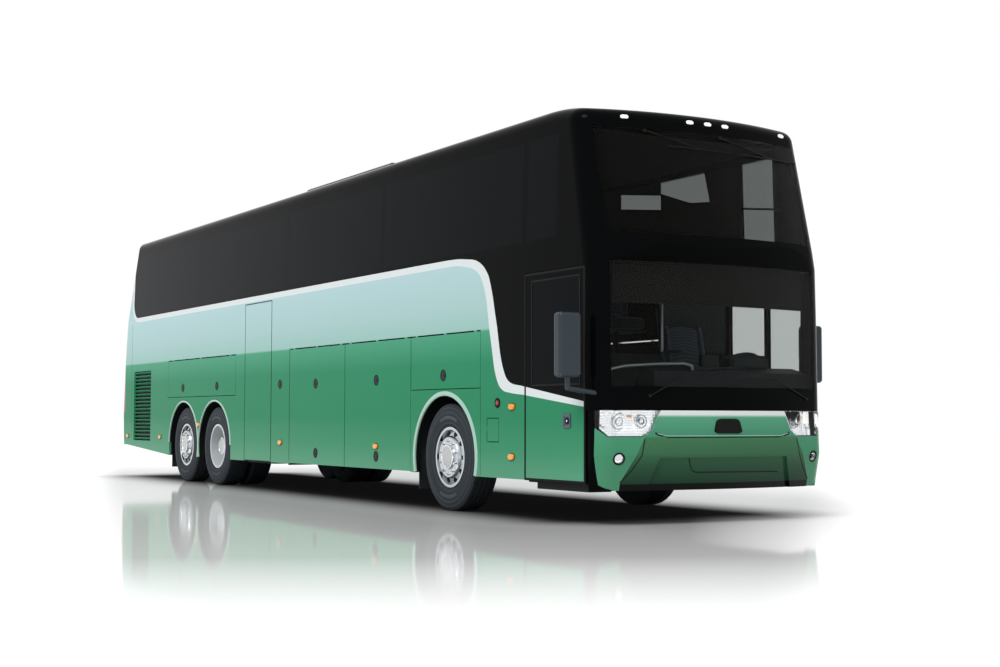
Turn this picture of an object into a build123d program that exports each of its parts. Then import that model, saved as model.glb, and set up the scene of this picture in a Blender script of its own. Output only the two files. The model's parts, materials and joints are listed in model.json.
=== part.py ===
from build123d import *
import copy
import os
from math import cos, pi, sin, sqrt

# Touring coach, 14 m long, three axles, high passenger deck, left-hand drive.
# +X is forward, +Y is the bus's left, +Z is up.
# The origin is on the ground below the middle of the length.

# Overall sizes, in millimetres
body_length = 14040.0
body_width = 2550.0
roof_edge_height = 3690.0
roof_crown = 40.0
wall = 50.0
pane_thickness = 18.0
cut_over = 60.0
half_length = body_length / 2
half_width = body_width / 2
inner_half = half_width - wall

# Outer form: plan sections stacked from the skirt to above the roof
tower_height = 3900.0
nose_bow = 180.0
tail_bow = 60.0
nose_corner = 220.0
tail_corner = 150.0
nose_lean = 388.0
tail_lean = 724.0
side_lean = 42.0
# Columns: height share, nose lean share, tail lean share, side lean share
section_shares = [
    (0.0769, 0.180, 0.124, 0.0),
    (0.1538, 0.0, 0.028, 0.0),
    (0.2513, 0.052, 0.0, 0.0),
    (0.4564, 0.077, 0.097, 0.0),
    (0.5897, 0.108, 0.207, 0.0),
    (0.632, 0.193, 0.262, 0.0),
    (1.0, 1.0, 1.0, 1.0),
]
roof_drop_start = 5930.0
roof_drop_radius = 2840.0
roof_drop_turn = 50.0
roof_arc_half = 1600.0
roof_edge_half = 1110.0
roof_round = 130.0
roof_round_inner = 80.0

# Lines along the body
glass_line = 2485.0
belt_line = 1760.0
skirt_line = 360.0
window_top = 3500.0
nose_joint = 6600.0
tail_joint = -6560.0
upper_nose_joint = 6250.0
upper_tail_joint = -6240.0
tail_skirt_start = -4440.0
tail_skirt_rise = 128.0

# Axles and wheels
front_axle_x = 4180.0
drive_axle_x = -2520.0
tag_axle_x = -3820.0
tyre_radius = 530.0
tyre_width = 295.0
rim_radius = 300.0
wheel_inset = 20.0
twin_pitch = 340.0
wheel_y = half_width - wheel_inset - tyre_width / 2
arch_radius = 640.0
arch_height = 533.0
arch_shift = -45.0
arch_tip_height = 560.0
kingpin_y = 900.0

# Doors and flaps
door_gap = 8.0
door_back_gap = 6.0
door_thickness = wall - door_back_gap
front_door_rear = 5670.0
front_door_front = 6680.0
front_door_top = 2230.0
mid_door_rear = -1420.0
mid_door_front = -480.0
mid_door_top = 2400.0
hold_rear = 110.0
hold_split = 1740.0
hold_front = 3390.0
wheel_flap_front = 4860.0
wheel_flap_bottom = 1200.0
rear_flap_rear = -4600.0
rear_flap_front = -1750.0
rear_flap_bottom = 1210.0
filler_rear = 4980.0
filler_front = 5210.0
filler_bottom = 690.0
filler_top = 920.0

# Hinge with a pin in a knuckle, for the flaps
hinge_edge_gap = 8.0
hinge_door_gap = 6.0
hinge_inset = 4.0
pin_radius = 4.0
pin_play = 0.3
knuckle_radius = 5.5
knuckle_length = 26.0
lug_length = 22.0
lug_depth = 12.0
knuckle_gap = 1.0

# Floors
deck_top = 1560.0
deck_thickness = 60.0
hold_floor_top = 420.0
hold_floor_thickness = 40.0
platform_top = 940.0
platform_rear = 5000.0
step_inner_y = -480.0
bulkhead = 40.0


def slab(x0, x1, y0, y1, z0, z1):
    centre = Pos((x0 + x1) / 2, (y0 + y1) / 2, (z0 + z1) / 2)
    return centre * Box(abs(x1 - x0), abs(y1 - y0), abs(z1 - z0))


def left_of(shape):
    return mirror(shape, about=Plane.XZ)


def rod(start, end, radius):
    path = Vector(*end) - Vector(*start)
    plane = Plane(origin=Vector(*start), z_dir=path)
    return extrude(plane * Circle(radius), amount=path.length)


def across(x, y0, y1, z, radius):
    return rod((x, y0, z), (x, y1, z), radius)


def upright(x, y, z0, z1, radius):
    return rod((x, y, z0), (x, y, z1), radius)


def side_prism(points, y0, y1):
    face = make_face(Polyline(*points, close=True))
    return extrude(Plane.XZ.offset(-max(y0, y1)) * face, amount=abs(y1 - y0))


def front_prism(points, x0, x1):
    face = make_face(Polyline(*points, close=True))
    plane = Plane(origin=(x0, 0, 0), x_dir=(0, 1, 0), z_dir=(1, 0, 0))
    return extrude(plane * face, amount=x1 - x0)


def save(name, *shapes):
    solids = []
    for shape in shapes:
        solids += shape.solids()
    body = solids[0] if len(solids) == 1 else Compound(children=solids)
    export_step(body, os.path.join("parts", name + ".step"))


def lean_at(z, column):
    rows = [(row[0] * tower_height, row[column]) for row in section_shares]
    for (z0, s0), (z1, s1) in zip(rows, rows[1:]):
        if z <= z1:
            return s0 + (s1 - s0) * (z - z0) / (z1 - z0)
    return rows[-1][1]


def bow_depth(y, bow, half):
    radius = (half ** 2 + bow ** 2) / (2 * bow)
    return radius - sqrt(radius ** 2 - y ** 2)


def nose_x(y, z):
    tip = half_length - nose_lean * lean_at(z, 1)
    return tip - bow_depth(y, nose_bow, half_width)


def tail_x(y, z):
    tip = -half_length + tail_lean * lean_at(z, 2)
    return tip + bow_depth(y, tail_bow, half_width)


# Outer form and its offset for the inside of the wall
def plan_section(row, inset):
    height_share, nose_share, tail_share, side_share = row
    half = half_width - side_lean * side_share - inset
    nose = half_length - nose_lean * nose_share - inset
    tail = -half_length + tail_lean * tail_share + inset
    nose_arc = ThreePointArc((nose - nose_bow, -half), (nose, 0), (nose - nose_bow, half))
    left_side = Line((nose - nose_bow, half), (tail + tail_bow, half))
    tail_arc = ThreePointArc((tail + tail_bow, half), (tail, 0), (tail + tail_bow, -half))
    right_side = Line((tail + tail_bow, -half), (nose - nose_bow, -half))
    face = make_face(Wire([nose_arc, left_side, tail_arc, right_side]))
    face = fillet(face.vertices().filter_by(lambda v: v.X > 0), nose_corner - inset)
    tail_points = face.vertices().filter_by(lambda v: v.X < 0)
    face = fillet(tail_points, tail_corner - inset)
    return Pos(0, 0, height_share * tower_height) * face


def above_roof(inset):
    top = roof_edge_height + roof_crown - inset
    radius = (roof_edge_half ** 2 + roof_crown ** 2) / (2 * roof_crown) - inset
    edge = top - radius + sqrt(radius ** 2 - roof_arc_half ** 2)
    high = tower_height + tower_height - roof_edge_height
    arc = ThreePointArc((-roof_arc_half, edge), (0, top), (roof_arc_half, edge))
    lid = Polyline((roof_arc_half, edge), (roof_arc_half, high), (-roof_arc_half, high),
                   (-roof_arc_half, edge))
    plane = Plane(origin=(roof_drop_start, 0, 0), x_dir=(0, 1, 0), z_dir=(1, 0, 0))
    face = plane * make_face(Wire([*arc.edges(), *lid.edges()]))
    straight = extrude(face, amount=-body_length)
    turn_centre = (roof_drop_start, 0, top - roof_drop_radius + inset)
    falling = revolve(face, axis=Axis(turn_centre, (0, 1, 0)), revolution_arc=roof_drop_turn)
    return straight + falling


def body_form(inset, edge_round):
    tower = loft([plan_section(row, inset) for row in section_shares], ruled=True)
    form = (tower - above_roof(inset)).solids()[0]
    roof_faces = [f for f in form.faces() if f.center().Z > window_top and f.normal_at().Z > 0.8]
    edges = [e for f in roof_faces for e in f.edges()]

    def shared(edge):
        return sum(1 for other in edges if (other.center() - edge.center()).length < edge.length / 1000)

    return fillet([e for e in edges if shared(e) == 1], edge_round).solids()[0]


outer_form = body_form(0, roof_round)
inner_form = body_form(wall, roof_round_inner)
pane_form = body_form(pane_thickness, roof_round - pane_thickness)
shell = outer_form - inner_form
skin = outer_form - pane_form


# A cut of the body wall or of its outermost layer
def shell_in(zone):
    return copy.deepcopy(shell) & zone


def skin_in(zone):
    return copy.deepcopy(skin) & zone


def form_in(zone):
    return copy.deepcopy(outer_form) & zone


# Pin hinge along X: the fixed half hangs from an edge above, the moving half stands on the flap
def hinge_station(reach):
    ear = slab(-lug_length / 2, lug_length / 2, -hinge_inset, reach, -pin_radius, hinge_edge_gap)
    pin_end = lug_length / 2 + knuckle_length + knuckle_gap
    pin = rod((0, 0, 0), (pin_end, 0, 0), pin_radius)
    start = lug_length / 2 + knuckle_gap
    end = start + knuckle_length - knuckle_gap
    knuckle = rod((start, 0, 0), (end, 0, 0), knuckle_radius)
    foot = slab(start, end, -hinge_inset, reach, -hinge_door_gap, 0)
    bore = rod((0, 0, 0), (end + knuckle_length, 0, 0), pin_radius + pin_play)
    return ear + pin, knuckle + foot - bore


hinge_drop = hinge_edge_gap + hinge_door_gap
hinge_y = half_width - hinge_inset
fixed_hinge, moving_hinge = hinge_station(lug_depth - hinge_inset)
hinge_place_shares = [0.08, 0.5, 0.92]


def top_hung_flap(rear, front, bottom):
    flap = slab(rear + door_gap, front - door_gap, -half_width, -half_width + door_thickness,
                bottom + door_gap, belt_line - hinge_drop)
    fixed = []
    for share in hinge_place_shares:
        place = Pos(rear + share * (front - rear), -hinge_y, belt_line - hinge_edge_gap)
        flap += place * moving_hinge
        fixed.append(place * fixed_hinge)
    return flap, fixed


# Wheel arch opening in the side
def arch_cut(axle_x):
    centre = axle_x + arch_shift
    round_part = across(centre, -half_width - cut_over, -inner_half + cut_over, arch_height,
                        arch_radius)
    leg = slab(centre - arch_radius, centre + arch_radius, -half_width - cut_over,
               -inner_half + cut_over, 0, arch_height)
    return round_part + leg


def side_cut(x0, x1, z0, z1):
    return slab(x0, x1, -half_width - cut_over, -inner_half + cut_over, z0, z1)


# Louvre in front of the radiator
louvre_rear = -6320.0
louvre_front = -5410.0
louvre_bottom = 540.0
louvre_top = 1660.0
louvre_rim = 22.0
louvre_count = 19
slat_thickness = 7.0
slat_depth = 42.0
slat_tilt = 40.0
louvre_depth = 44.0


def louvre():
    width = louvre_front - louvre_rear
    height = louvre_top - louvre_bottom
    outside = slab(louvre_rear, louvre_front, -half_width, -half_width + louvre_depth,
                   louvre_bottom, louvre_top)
    window = slab(louvre_rear + louvre_rim, louvre_front - louvre_rim, -half_width - cut_over,
                  -half_width + louvre_depth + cut_over, louvre_bottom + louvre_rim,
                  louvre_top - louvre_rim)
    grille = outside - window
    slat_y = -half_width + louvre_depth / 2
    pitch = (height - 2 * louvre_rim) / louvre_count
    slat_form = Rot(-slat_tilt, 0, 0) * Box(width - louvre_rim, slat_depth, slat_thickness)
    for number in range(louvre_count):
        slat_z = louvre_bottom + louvre_rim + pitch * (number + 0.5)
        place = Pos((louvre_rear + louvre_front) / 2, slat_y, slat_z)
        grille += place * slat_form & outside
    return grille


# Flat side wall below the windows, with its openings
hinge_flaps = {
    "hold_door_rear": (hold_rear, hold_split, skirt_line),
    "hold_door_front": (hold_split, hold_front, skirt_line),
    "wheel_flap": (hold_front, wheel_flap_front, wheel_flap_bottom),
    "rear_flap": (rear_flap_rear, rear_flap_front, rear_flap_bottom),
}
driver_window_rear = 5500.0
driver_window_split = 6060.0
driver_window_front = 6560.0
driver_window_bottom = 1260.0
driver_window_top = 2230.0
driver_window_post = 45.0


def side_wall(right):
    wall_slab = slab(tail_joint, nose_joint, -half_width, -inner_half, skirt_line, glass_line)
    rise_end = tail_joint - cut_over
    skirt_end = skirt_line + tail_skirt_rise
    rise_points = [(tail_skirt_start, skirt_line - cut_over), (tail_skirt_start, skirt_line),
                   (rise_end, skirt_end), (rise_end, skirt_line - cut_over)]
    cuts = [side_prism(rise_points, -half_width - cut_over, -inner_half + cut_over)]
    cuts += [arch_cut(axle) for axle in (front_axle_x, drive_axle_x, tag_axle_x)]
    cuts.append(side_cut(tag_axle_x, drive_axle_x, 0, arch_tip_height))
    cuts.append(side_cut(louvre_rear, louvre_front, louvre_bottom, louvre_top))
    if right:
        cuts.append(side_cut(front_door_rear, nose_joint + cut_over, 0, front_door_top))
        cuts.append(side_cut(mid_door_rear, mid_door_front, 0, mid_door_top))
        cuts.append(side_cut(filler_rear, filler_front, filler_bottom, filler_top))
    else:
        for x0, x1 in driver_panes():
            cuts.append(side_cut(x0, x1, driver_window_bottom, driver_window_top))
    flaps = {}
    fixed = []
    for name, (rear, front, bottom) in hinge_flaps.items():
        cuts.append(side_cut(rear, front, bottom, belt_line))
        flaps[name], ears = top_hung_flap(rear, front, bottom)
        fixed += ears
    result = wall_slab
    for cut in cuts:
        result -= cut
    for ear in fixed:
        result += ear
    if right:
        result += filler_place * fixed_hinge
        result += door_header(front_door_rear, front_door_front - front_door_rear, front_door_top)
        result += door_header(mid_door_rear, mid_door_front - mid_door_rear, mid_door_top)
    return result, flaps


def driver_panes():
    post = driver_window_post / 2
    return [(driver_window_rear, driver_window_split - post),
            (driver_window_split + post, driver_window_front)]


# Filler flap, hinged at its rear edge
filler_middle = (filler_bottom + filler_top) / 2
filler_place = Pos(filler_rear + hinge_edge_gap, -hinge_y, filler_middle) * Rot(0, -90, 0)


def filler_flap():
    plate = slab(filler_rear + hinge_drop, filler_front - door_gap, -half_width,
                 -half_width + door_thickness, filler_bottom + door_gap, filler_top - door_gap)
    return plate + filler_place * moving_hinge


# Swing doors: a leaf carried by two arms on an upright shaft inside the doorway
shaft_inset = 110.0
shaft_radius = 22.0
arm_y = -1165.0
arm_height = 36.0
arm_width = 46.0
arm_pin_radius = 11.0
arm_end_round = 30.0
bracket_height = 40.0
bracket_gap = 5.0
bracket_width = 64.0
bracket_play = 0.3
lower_arm_z = 600.0
upper_arm_drop = 90.0
front_arm_length = 520.0
mid_arm_length = 420.0
header_height = 50.0
header_depth = 100.0
header_inset = 60.0
shaft_end_gap = 0.3


def door_header(rear, width, top):
    return slab(rear + header_inset, min(rear + width, nose_joint) - header_inset, -inner_half,
                -inner_half + header_depth, top, top + header_height)


def door_arm(shaft_x, pin_x, foot_z, top):
    arm = upright(shaft_x, arm_y, foot_z + shaft_end_gap, top - shaft_end_gap, shaft_radius)
    for level in (lower_arm_z, top - upper_arm_drop):
        arm += slab(shaft_x, pin_x, arm_y - arm_width / 2, arm_y + arm_width / 2, level,
                    level + arm_height)
        arm += upright(pin_x, arm_y, level, level + arm_height, arm_end_round)
        arm += upright(pin_x, arm_y, level - bracket_gap - bracket_height, level, arm_pin_radius)
    return arm


def door_brackets(pin_x, top):
    brackets = []
    for level in (lower_arm_z, top - upper_arm_drop):
        z1 = level - bracket_gap
        z0 = z1 - bracket_height
        block = slab(pin_x - bracket_width / 2, pin_x + bracket_width / 2,
                     -half_width + door_thickness, arm_y + bracket_width / 2, z0, z1)
        bore = upright(pin_x, arm_y, z0 - cut_over, z1 + cut_over, arm_pin_radius + bracket_play)
        brackets.append(block - bore)
    return brackets


def door_leaf(rear, front, bottom, top, pin_x):
    leaf = slab(rear + door_gap, front - door_gap, -half_width, -half_width + door_thickness,
                bottom + door_gap, top - door_gap)
    for bracket in door_brackets(pin_x, top):
        leaf += bracket
    return leaf


front_glass_margin = 130.0
front_glass_nose_margin = 90.0
front_glass_bottom = 1210.0
front_glass_top_margin = 80.0
front_shaft_x = front_door_rear + shaft_inset
front_pin_x = front_shaft_x + front_arm_length
mid_shaft_x = mid_door_front - shaft_inset
mid_pin_x = mid_shaft_x - mid_arm_length
door_sill = 380.0


def front_door():
    leaf = door_leaf(front_door_rear, front_door_front, skirt_line - door_gap, front_door_top,
                     front_pin_x)
    x0 = front_door_rear + front_glass_margin
    x1 = front_door_front - front_glass_nose_margin
    z1 = front_door_top - front_glass_top_margin
    opening = slab(x0, x1, -half_width - cut_over, -half_width + door_thickness,
                   front_glass_bottom, z1)
    glass = slab(x0, x1, -half_width, -half_width + pane_thickness, front_glass_bottom, z1)
    keep = slab(x0, x1, -half_width + door_thickness, 0, 0, tower_height)
    brackets = leaf & keep
    return leaf - opening + brackets, glass


# Upper side wall with its row of panes
pane_split_x = [-3220.0, -20.0, 2680.0, 5660.0]
pane_post = 90.0
pane_sill = 40.0
pane_head = 60.0


def pane_boxes():
    marks = [upper_tail_joint, *pane_split_x, upper_nose_joint]
    boxes = []
    for rear, front in zip(marks, marks[1:]):
        boxes.append(slab(rear + pane_post / 2, front - pane_post / 2, -half_width - cut_over,
                          -half_width / 2, glass_line + pane_sill, window_top - pane_head))
    return boxes


def upper_side():
    zone = slab(upper_tail_joint, upper_nose_joint, -half_width - cut_over, -half_width / 2,
                glass_line, window_top)
    frame = shell_in(zone)
    panes = []
    for box in pane_boxes():
        panes.append(skin_in(box))
        frame -= box
    return frame, panes


# Nose: bumper, lamps, black mask, two windscreens
mask_line = 985.0
screen_half = 1130.0
lower_screen_bottom = 1190.0
lower_screen_top = 2270.0
upper_screen_bottom = 2520.0
upper_screen_top = 3470.0
lamp_top_outer = 1290.0
lamp_top_inner = 690.0
lamp_slope_y = 770.0
lamp_slope_z = 815.0
lamp_bottom_y = 850.0
lamp_bottom_z = 768.0
lamp_outer_y = 1160.0
lamp_side_z = 883.0
panel_top_half = 685.0
panel_side_half = 762.0
panel_bottom_half = 630.0
panel_bottom_z = 758.0
panel_gap = 8.0
fog_y = 1075.0
fog_z = 574.0
fog_radius = 53.0
fog_ring = 0.3
recess_top_half = 700.0
recess_bottom_half = 820.0
recess_top = 580.0
recess_bottom = 250.0
recess_depth = 30.0
corner_post_front = 6770.0
corner_post_recess = 14.0
corner_cut_width = 270.0
corner_cut_height = 150.0
corner_cut_steps = 8


def lamp_outline(grow):
    return [(-lamp_top_outer - grow, mask_line), (-lamp_top_inner + grow, mask_line),
            (-lamp_slope_y + grow, lamp_slope_z), (-lamp_bottom_y + grow, lamp_bottom_z - grow),
            (-lamp_outer_y - grow, lamp_bottom_z - grow), (-lamp_top_outer - grow, lamp_side_z)]


def nose_zone(z0, z1, x0):
    return slab(x0, half_length + cut_over, -half_width - cut_over, half_width + cut_over, z0, z1)


def front_doorway():
    return slab(front_door_rear, front_door_front, -half_width - cut_over, 0, 0, front_door_top)


# The black post between the entrance and the corner of the bumper
def corner_post_zone():
    return slab(front_door_front, corner_post_front, -half_width - cut_over, 0, 0, mask_line)


def corner_post():
    post = shell_in(corner_post_zone())
    return post & Pos(0, corner_post_recess, 0) * copy.deepcopy(outer_form)


# Below the lamps the bumper's corners are drawn in like a quarter of an ellipse
def corner_cut():
    base = section_shares[0][0] * tower_height
    points = [(-half_width - cut_over, 0), (-half_width - cut_over, base + corner_cut_height)]
    for step in range(corner_cut_steps + 1):
        turn = pi / 2 * step / corner_cut_steps
        points.append((-half_width + corner_cut_width * (1 - cos(turn)),
                       base + corner_cut_height * (1 - sin(turn))))
    points.append((-half_width + corner_cut_width, 0))
    return front_prism(points, corner_post_front, half_length + cut_over)


def nose_lower():
    bumper = shell_in(nose_zone(0, mask_line, nose_joint)) - front_doorway()
    bumper = bumper - corner_post_zone() - corner_cut() - left_of(corner_cut())
    far = half_length + cut_over
    near = nose_joint - cut_over
    lamp_prism = front_prism(lamp_outline(0), near, far)
    lamp_hole = front_prism(lamp_outline(panel_gap), near, far)
    lamps = [bumper & lamp_prism, left_of(bumper & lamp_prism)]
    panel_points = [(-panel_top_half, mask_line), (panel_top_half, mask_line),
                    (panel_side_half, lamp_slope_z), (panel_bottom_half, panel_bottom_z),
                    (-panel_bottom_half, panel_bottom_z), (-panel_side_half, lamp_slope_z)]
    panel = (bumper & front_prism(panel_points, near, far)) - lamp_hole - left_of(lamp_hole)
    panel_hole = [(-panel_side_half, mask_line), (panel_side_half, mask_line),
                  (panel_side_half, lamp_slope_z), (panel_bottom_half, panel_bottom_z - panel_gap),
                  (-panel_bottom_half, panel_bottom_z - panel_gap),
                  (-panel_side_half, lamp_slope_z)]
    bumper = bumper - lamp_hole - left_of(lamp_hole) - front_prism(panel_hole, near, far)
    fogs = []
    for side in (-1, 1):
        hole = rod((near, side * fog_y, fog_z), (far, side * fog_y, fog_z), fog_radius + fog_ring)
        bumper -= hole
        back = nose_x(fog_y, fog_z) - wall
        lens = rod((back, side * fog_y, fog_z), (far, side * fog_y, fog_z), fog_radius)
        fogs.append(form_in(lens))
    recess_points = [(-recess_top_half, recess_top), (recess_top_half, recess_top),
                     (recess_bottom_half, recess_bottom), (-recess_bottom_half, recess_bottom)]
    recess = front_prism(recess_points, near, far)
    bumper -= recess - Pos(-recess_depth, 0, 0) * copy.deepcopy(outer_form)
    return bumper, lamps, panel, fogs


def screen_box(z0, z1):
    return slab(upper_nose_joint, half_length + cut_over, -screen_half, screen_half, z0, z1)


def nose_upper():
    lower = screen_box(lower_screen_bottom, lower_screen_top)
    upper = screen_box(upper_screen_bottom, upper_screen_top)
    pillars = shell_in(nose_zone(mask_line, glass_line, nose_joint)) - front_doorway()
    brow = shell_in(nose_zone(glass_line, window_top, upper_nose_joint))
    frame = pillars + brow + corner_post() - lower - upper
    return frame, [skin_in(lower), skin_in(upper)]


# Tail: wall, window, lamps and the engine door
engine_door_half = 880.0
engine_door_bottom = 640.0
engine_door_top = 1500.0
engine_hinge_y = 560.0
tail_lamp_inner = 1010.0
tail_lamp_bottom = 1000.0
tail_lamp_top = 1560.0
tail_lamp_depth = 260.0
rear_window_half = 900.0
rear_window_bottom = 2620.0
rear_window_top = 3330.0
tail_hinge_depth = 34.0
plate_half = 270.0
plate_bottom = 700.0
plate_top = 840.0
plate_recess = 12.0


def tail_zone(z0, z1, x1):
    return slab(-half_length - cut_over, x1, -half_width - cut_over, half_width + cut_over, z0, z1)


def tail_parts():
    bottom = skirt_line + tail_skirt_rise
    wall_piece = shell_in(tail_zone(bottom, glass_line, tail_joint))
    wall_piece += shell_in(tail_zone(glass_line, window_top, upper_tail_joint))
    window = slab(-half_length - cut_over, upper_tail_joint, -rear_window_half, rear_window_half,
                  rear_window_bottom, rear_window_top)
    glass = skin_in(window)
    wall_piece -= window
    lamps = []
    for side in (-1, 1):
        box = slab(-half_length - cut_over, -half_length + tail_lamp_depth, side * tail_lamp_inner,
                   side * (half_width + cut_over), tail_lamp_bottom, tail_lamp_top)
        lamps.append(shell_in(box))
        wall_piece -= box
    door_zone = slab(-half_length - cut_over, tail_joint, -engine_door_half, engine_door_half,
                     engine_door_bottom, engine_door_top)
    door_body = slab(-half_length - cut_over, tail_joint, -engine_door_half + door_gap,
                     engine_door_half - door_gap, engine_door_bottom + door_gap,
                     engine_door_top - hinge_drop)
    door = shell_in(door_body)
    plate_place = slab(-half_length - cut_over, tail_joint, -plate_half, plate_half, plate_bottom,
                       plate_top)
    door -= plate_place - Pos(plate_recess, 0, 0) * copy.deepcopy(outer_form)
    wall_piece -= door_zone
    ear, knuckle = hinge_station(tail_hinge_depth)
    axis_x = tail_x(0, engine_door_top) + hinge_inset
    for y in (-engine_hinge_y, engine_hinge_y):
        place = Pos(axis_x, y, engine_door_top - hinge_edge_gap) * Rot(0, 0, -90)
        wall_piece += place * ear
        door += place * knuckle
    return wall_piece, glass, lamps, door


# Floors, steps, bulkheads and wheel houses
stair_wall_y = -540.0
shelf_rear = 5900.0
shelf_bottom = 2285.0
shelf_thickness = 40.0
stair_riser_count = 3


def steps(rear, front, z0, z1, y0, y1, count):
    rise = (z1 - z0) / count
    run = (y1 - y0) / count
    points = [(y0, z0 - hold_floor_thickness)]
    for number in range(count):
        points.append((y0 + run * number, z0 + rise * number))
        points.append((y0 + run * (number + 1), z0 + rise * number))
    points.append((y1, z0 - hold_floor_thickness))
    return front_prism(points, rear, front)


def deck():
    floor = slab(upper_tail_joint, platform_rear, -inner_half, inner_half,
                 deck_top - deck_thickness, deck_top)
    floor -= slab(mid_door_rear, mid_door_front, -half_width, stair_wall_y,
                  deck_top - deck_thickness * 2, deck_top + deck_thickness)
    platform = slab(platform_rear, nose_joint, step_inner_y, inner_half,
                    platform_top - bulkhead, platform_top)
    platform += slab(platform_rear, front_door_rear, -inner_half, step_inner_y,
                     platform_top - bulkhead, platform_top)
    riser = slab(platform_rear, platform_rear + bulkhead, -inner_half, inner_half, platform_top,
                 deck_top)
    link = slab(platform_rear - bulkhead, platform_rear, -inner_half, inner_half,
                platform_top - bulkhead, deck_top - deck_thickness)
    return floor + platform + riser + link + aisle_steps()


# Steps from the driver's platform up to the passenger deck
aisle_step_half = 300.0
aisle_step_run = 200.0
aisle_step_count = 3


def aisle_steps():
    rise = (deck_top - platform_top) / (aisle_step_count + 1)
    start = platform_rear + bulkhead
    end = start + aisle_step_run * aisle_step_count
    points = [(start, platform_top), (end, platform_top)]
    for number in range(aisle_step_count):
        x = end - aisle_step_run * number
        z = platform_top + rise * (number + 1)
        points += [(x, z), (x - aisle_step_run, z)]
    return side_prism(points, -aisle_step_half, aisle_step_half)


def overhead_shelf():
    shelf = slab(shelf_rear, half_length, -half_width, half_width, shelf_bottom,
                 shelf_bottom + shelf_thickness)
    return shelf & copy.deepcopy(inner_form)


def stairs():
    entrance = steps(front_door_rear, front_door_front - door_gap, door_sill, platform_top,
                     -inner_half, step_inner_y, stair_riser_count)
    middle = steps(mid_door_rear, mid_door_front, door_sill, deck_top - deck_thickness,
                   -inner_half, stair_wall_y, stair_riser_count + 1)
    return entrance & copy.deepcopy(inner_form), middle


def hold_walls():
    top = deck_top - deck_thickness
    low = hold_floor_top - hold_floor_thickness
    floor = slab(mid_door_front, hold_front, -inner_half, inner_half, low, hold_floor_top)
    body = floor + slab(hold_front - bulkhead, hold_front, -inner_half, inner_half, low, top)
    body += slab(mid_door_front, mid_door_front + bulkhead, -inner_half, inner_half, low, top)
    rear = slab(mid_door_rear - bulkhead, mid_door_rear, -inner_half, inner_half, low, top)
    return body, rear


house_sheet = 20.0
front_house_inner = 510.0
rear_house_inner = 560.0
house_top = 1190.0
house_low = 640.0
front_house_reach = 720.0
rear_house_rear = -4560.0
rear_house_front = -1850.0
flap_thickness = 10.0
flap_low = 190.0
flap_outer = 1210.0
front_flap_inner = 930.0
rear_flap_inner = 640.0


def wheel_house(rear, front, inner, side):
    outer_box = slab(rear, front, side * inner, side * inner_half, house_low, house_top)
    hollow = slab(rear + house_sheet, front - house_sheet, side * (inner + house_sheet),
                  side * (half_width + cut_over), 0, house_top - house_sheet)
    return outer_box - hollow


# A rubber flap hangs from the rear sheet of each wheel house
def mud_flap(rear, inner, side):
    return slab(rear, rear + flap_thickness, side * inner, side * flap_outer, flap_low,
                house_low + house_sheet)


def wheel_houses():
    houses = []
    front_house_rear = front_axle_x - front_house_reach
    front_house_front = front_axle_x + front_house_reach
    for side in (-1, 1):
        house = wheel_house(front_house_rear, front_house_front, front_house_inner, side)
        houses.append(house + mud_flap(front_house_rear, front_flap_inner, side))
        house = wheel_house(rear_house_rear, rear_house_front, rear_house_inner, side)
        houses.append(house + mud_flap(rear_house_rear, rear_flap_inner, side))
    return houses


# Chassis: rails and cross members of the front and rear modules
rail_inner = 400.0
rail_outer = 480.0
rail_bottom = 620.0
rail_top = 740.0
front_rail_end = 6560.0
rear_rail_end = -6560.0
cross_depth = 80.0
tow_pin_radius = 22.0
jack_pad_half = 60.0
jack_pad_height = 20.0
jack_pad_front_x = 5200.0
jack_pad_rear_x = -5000.0
front_cross_shares = [0.0, 0.55, 1.0]
rear_cross_shares = [0.0, 0.16, 0.42, 0.7, 1.0]


def rails(rear, front, shares):
    frame = slab(rear, front, rail_inner, rail_outer, rail_bottom, rail_top)
    frame += slab(rear, front, -rail_outer, -rail_inner, rail_bottom, rail_top)
    for share in shares:
        x = rear + (front - rear - cross_depth) * share
        frame += slab(x, x + cross_depth, -rail_inner, rail_inner, rail_bottom, rail_top)
    return frame


def jack_pads(x):
    pad = slab(x - jack_pad_half, x + jack_pad_half, rail_inner, rail_outer,
               rail_bottom - jack_pad_height, rail_bottom)
    return pad + left_of(pad)


# The upright tow pin goes up through the foremost cross member
def front_rails():
    frame = rails(hold_front, front_rail_end, front_cross_shares) + jack_pads(jack_pad_front_x)
    return frame - upright(front_rail_end - cross_depth / 2, 0, 0, tower_height, tow_pin_radius)


def rear_rails():
    frame = rails(rear_rail_end, mid_door_rear - bulkhead, rear_cross_shares)
    return frame + jack_pads(jack_pad_rear_x)


engine_rear = -6450.0
engine_front = -5350.0
engine_half = 380.0
engine_height = 720.0
gearbox_front = -4600.0
gearbox_half = 240.0
gearbox_height = 420.0
radiator_depth = 60.0
radiator_rim = 20.0


def engine():
    block = slab(engine_rear, engine_front, -engine_half, engine_half, rail_top,
                 rail_top + engine_height)
    box = slab(engine_front, gearbox_front, -gearbox_half, gearbox_half, rail_top,
               rail_top + gearbox_height)
    return block + box


def radiator():
    return slab(louvre_rear - radiator_rim, louvre_front + radiator_rim, -inner_half,
                -inner_half + radiator_depth, louvre_bottom - radiator_rim,
                deck_top - deck_thickness - radiator_rim)


# Axles
beam_half = 60.0
beam_low = 470.0
beam_high = 590.0
eye_radius = 56.0
eye_gap = 6.0
kingpin_radius = 28.0
kingpin_play = 0.3
spring_radius = 55.0
fork_plate = 40.0
fork_gap = 5.0
fork_half = 50.0
web_start = 62.0
web_end = 100.0
spindle_radius = 45.0
spindle_end = wheel_y - 15.0
bearing_play = 0.3
tube_radius = 78.0
diff_radius = 210.0
diff_half = 170.0
tube_end = 610.0


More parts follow.
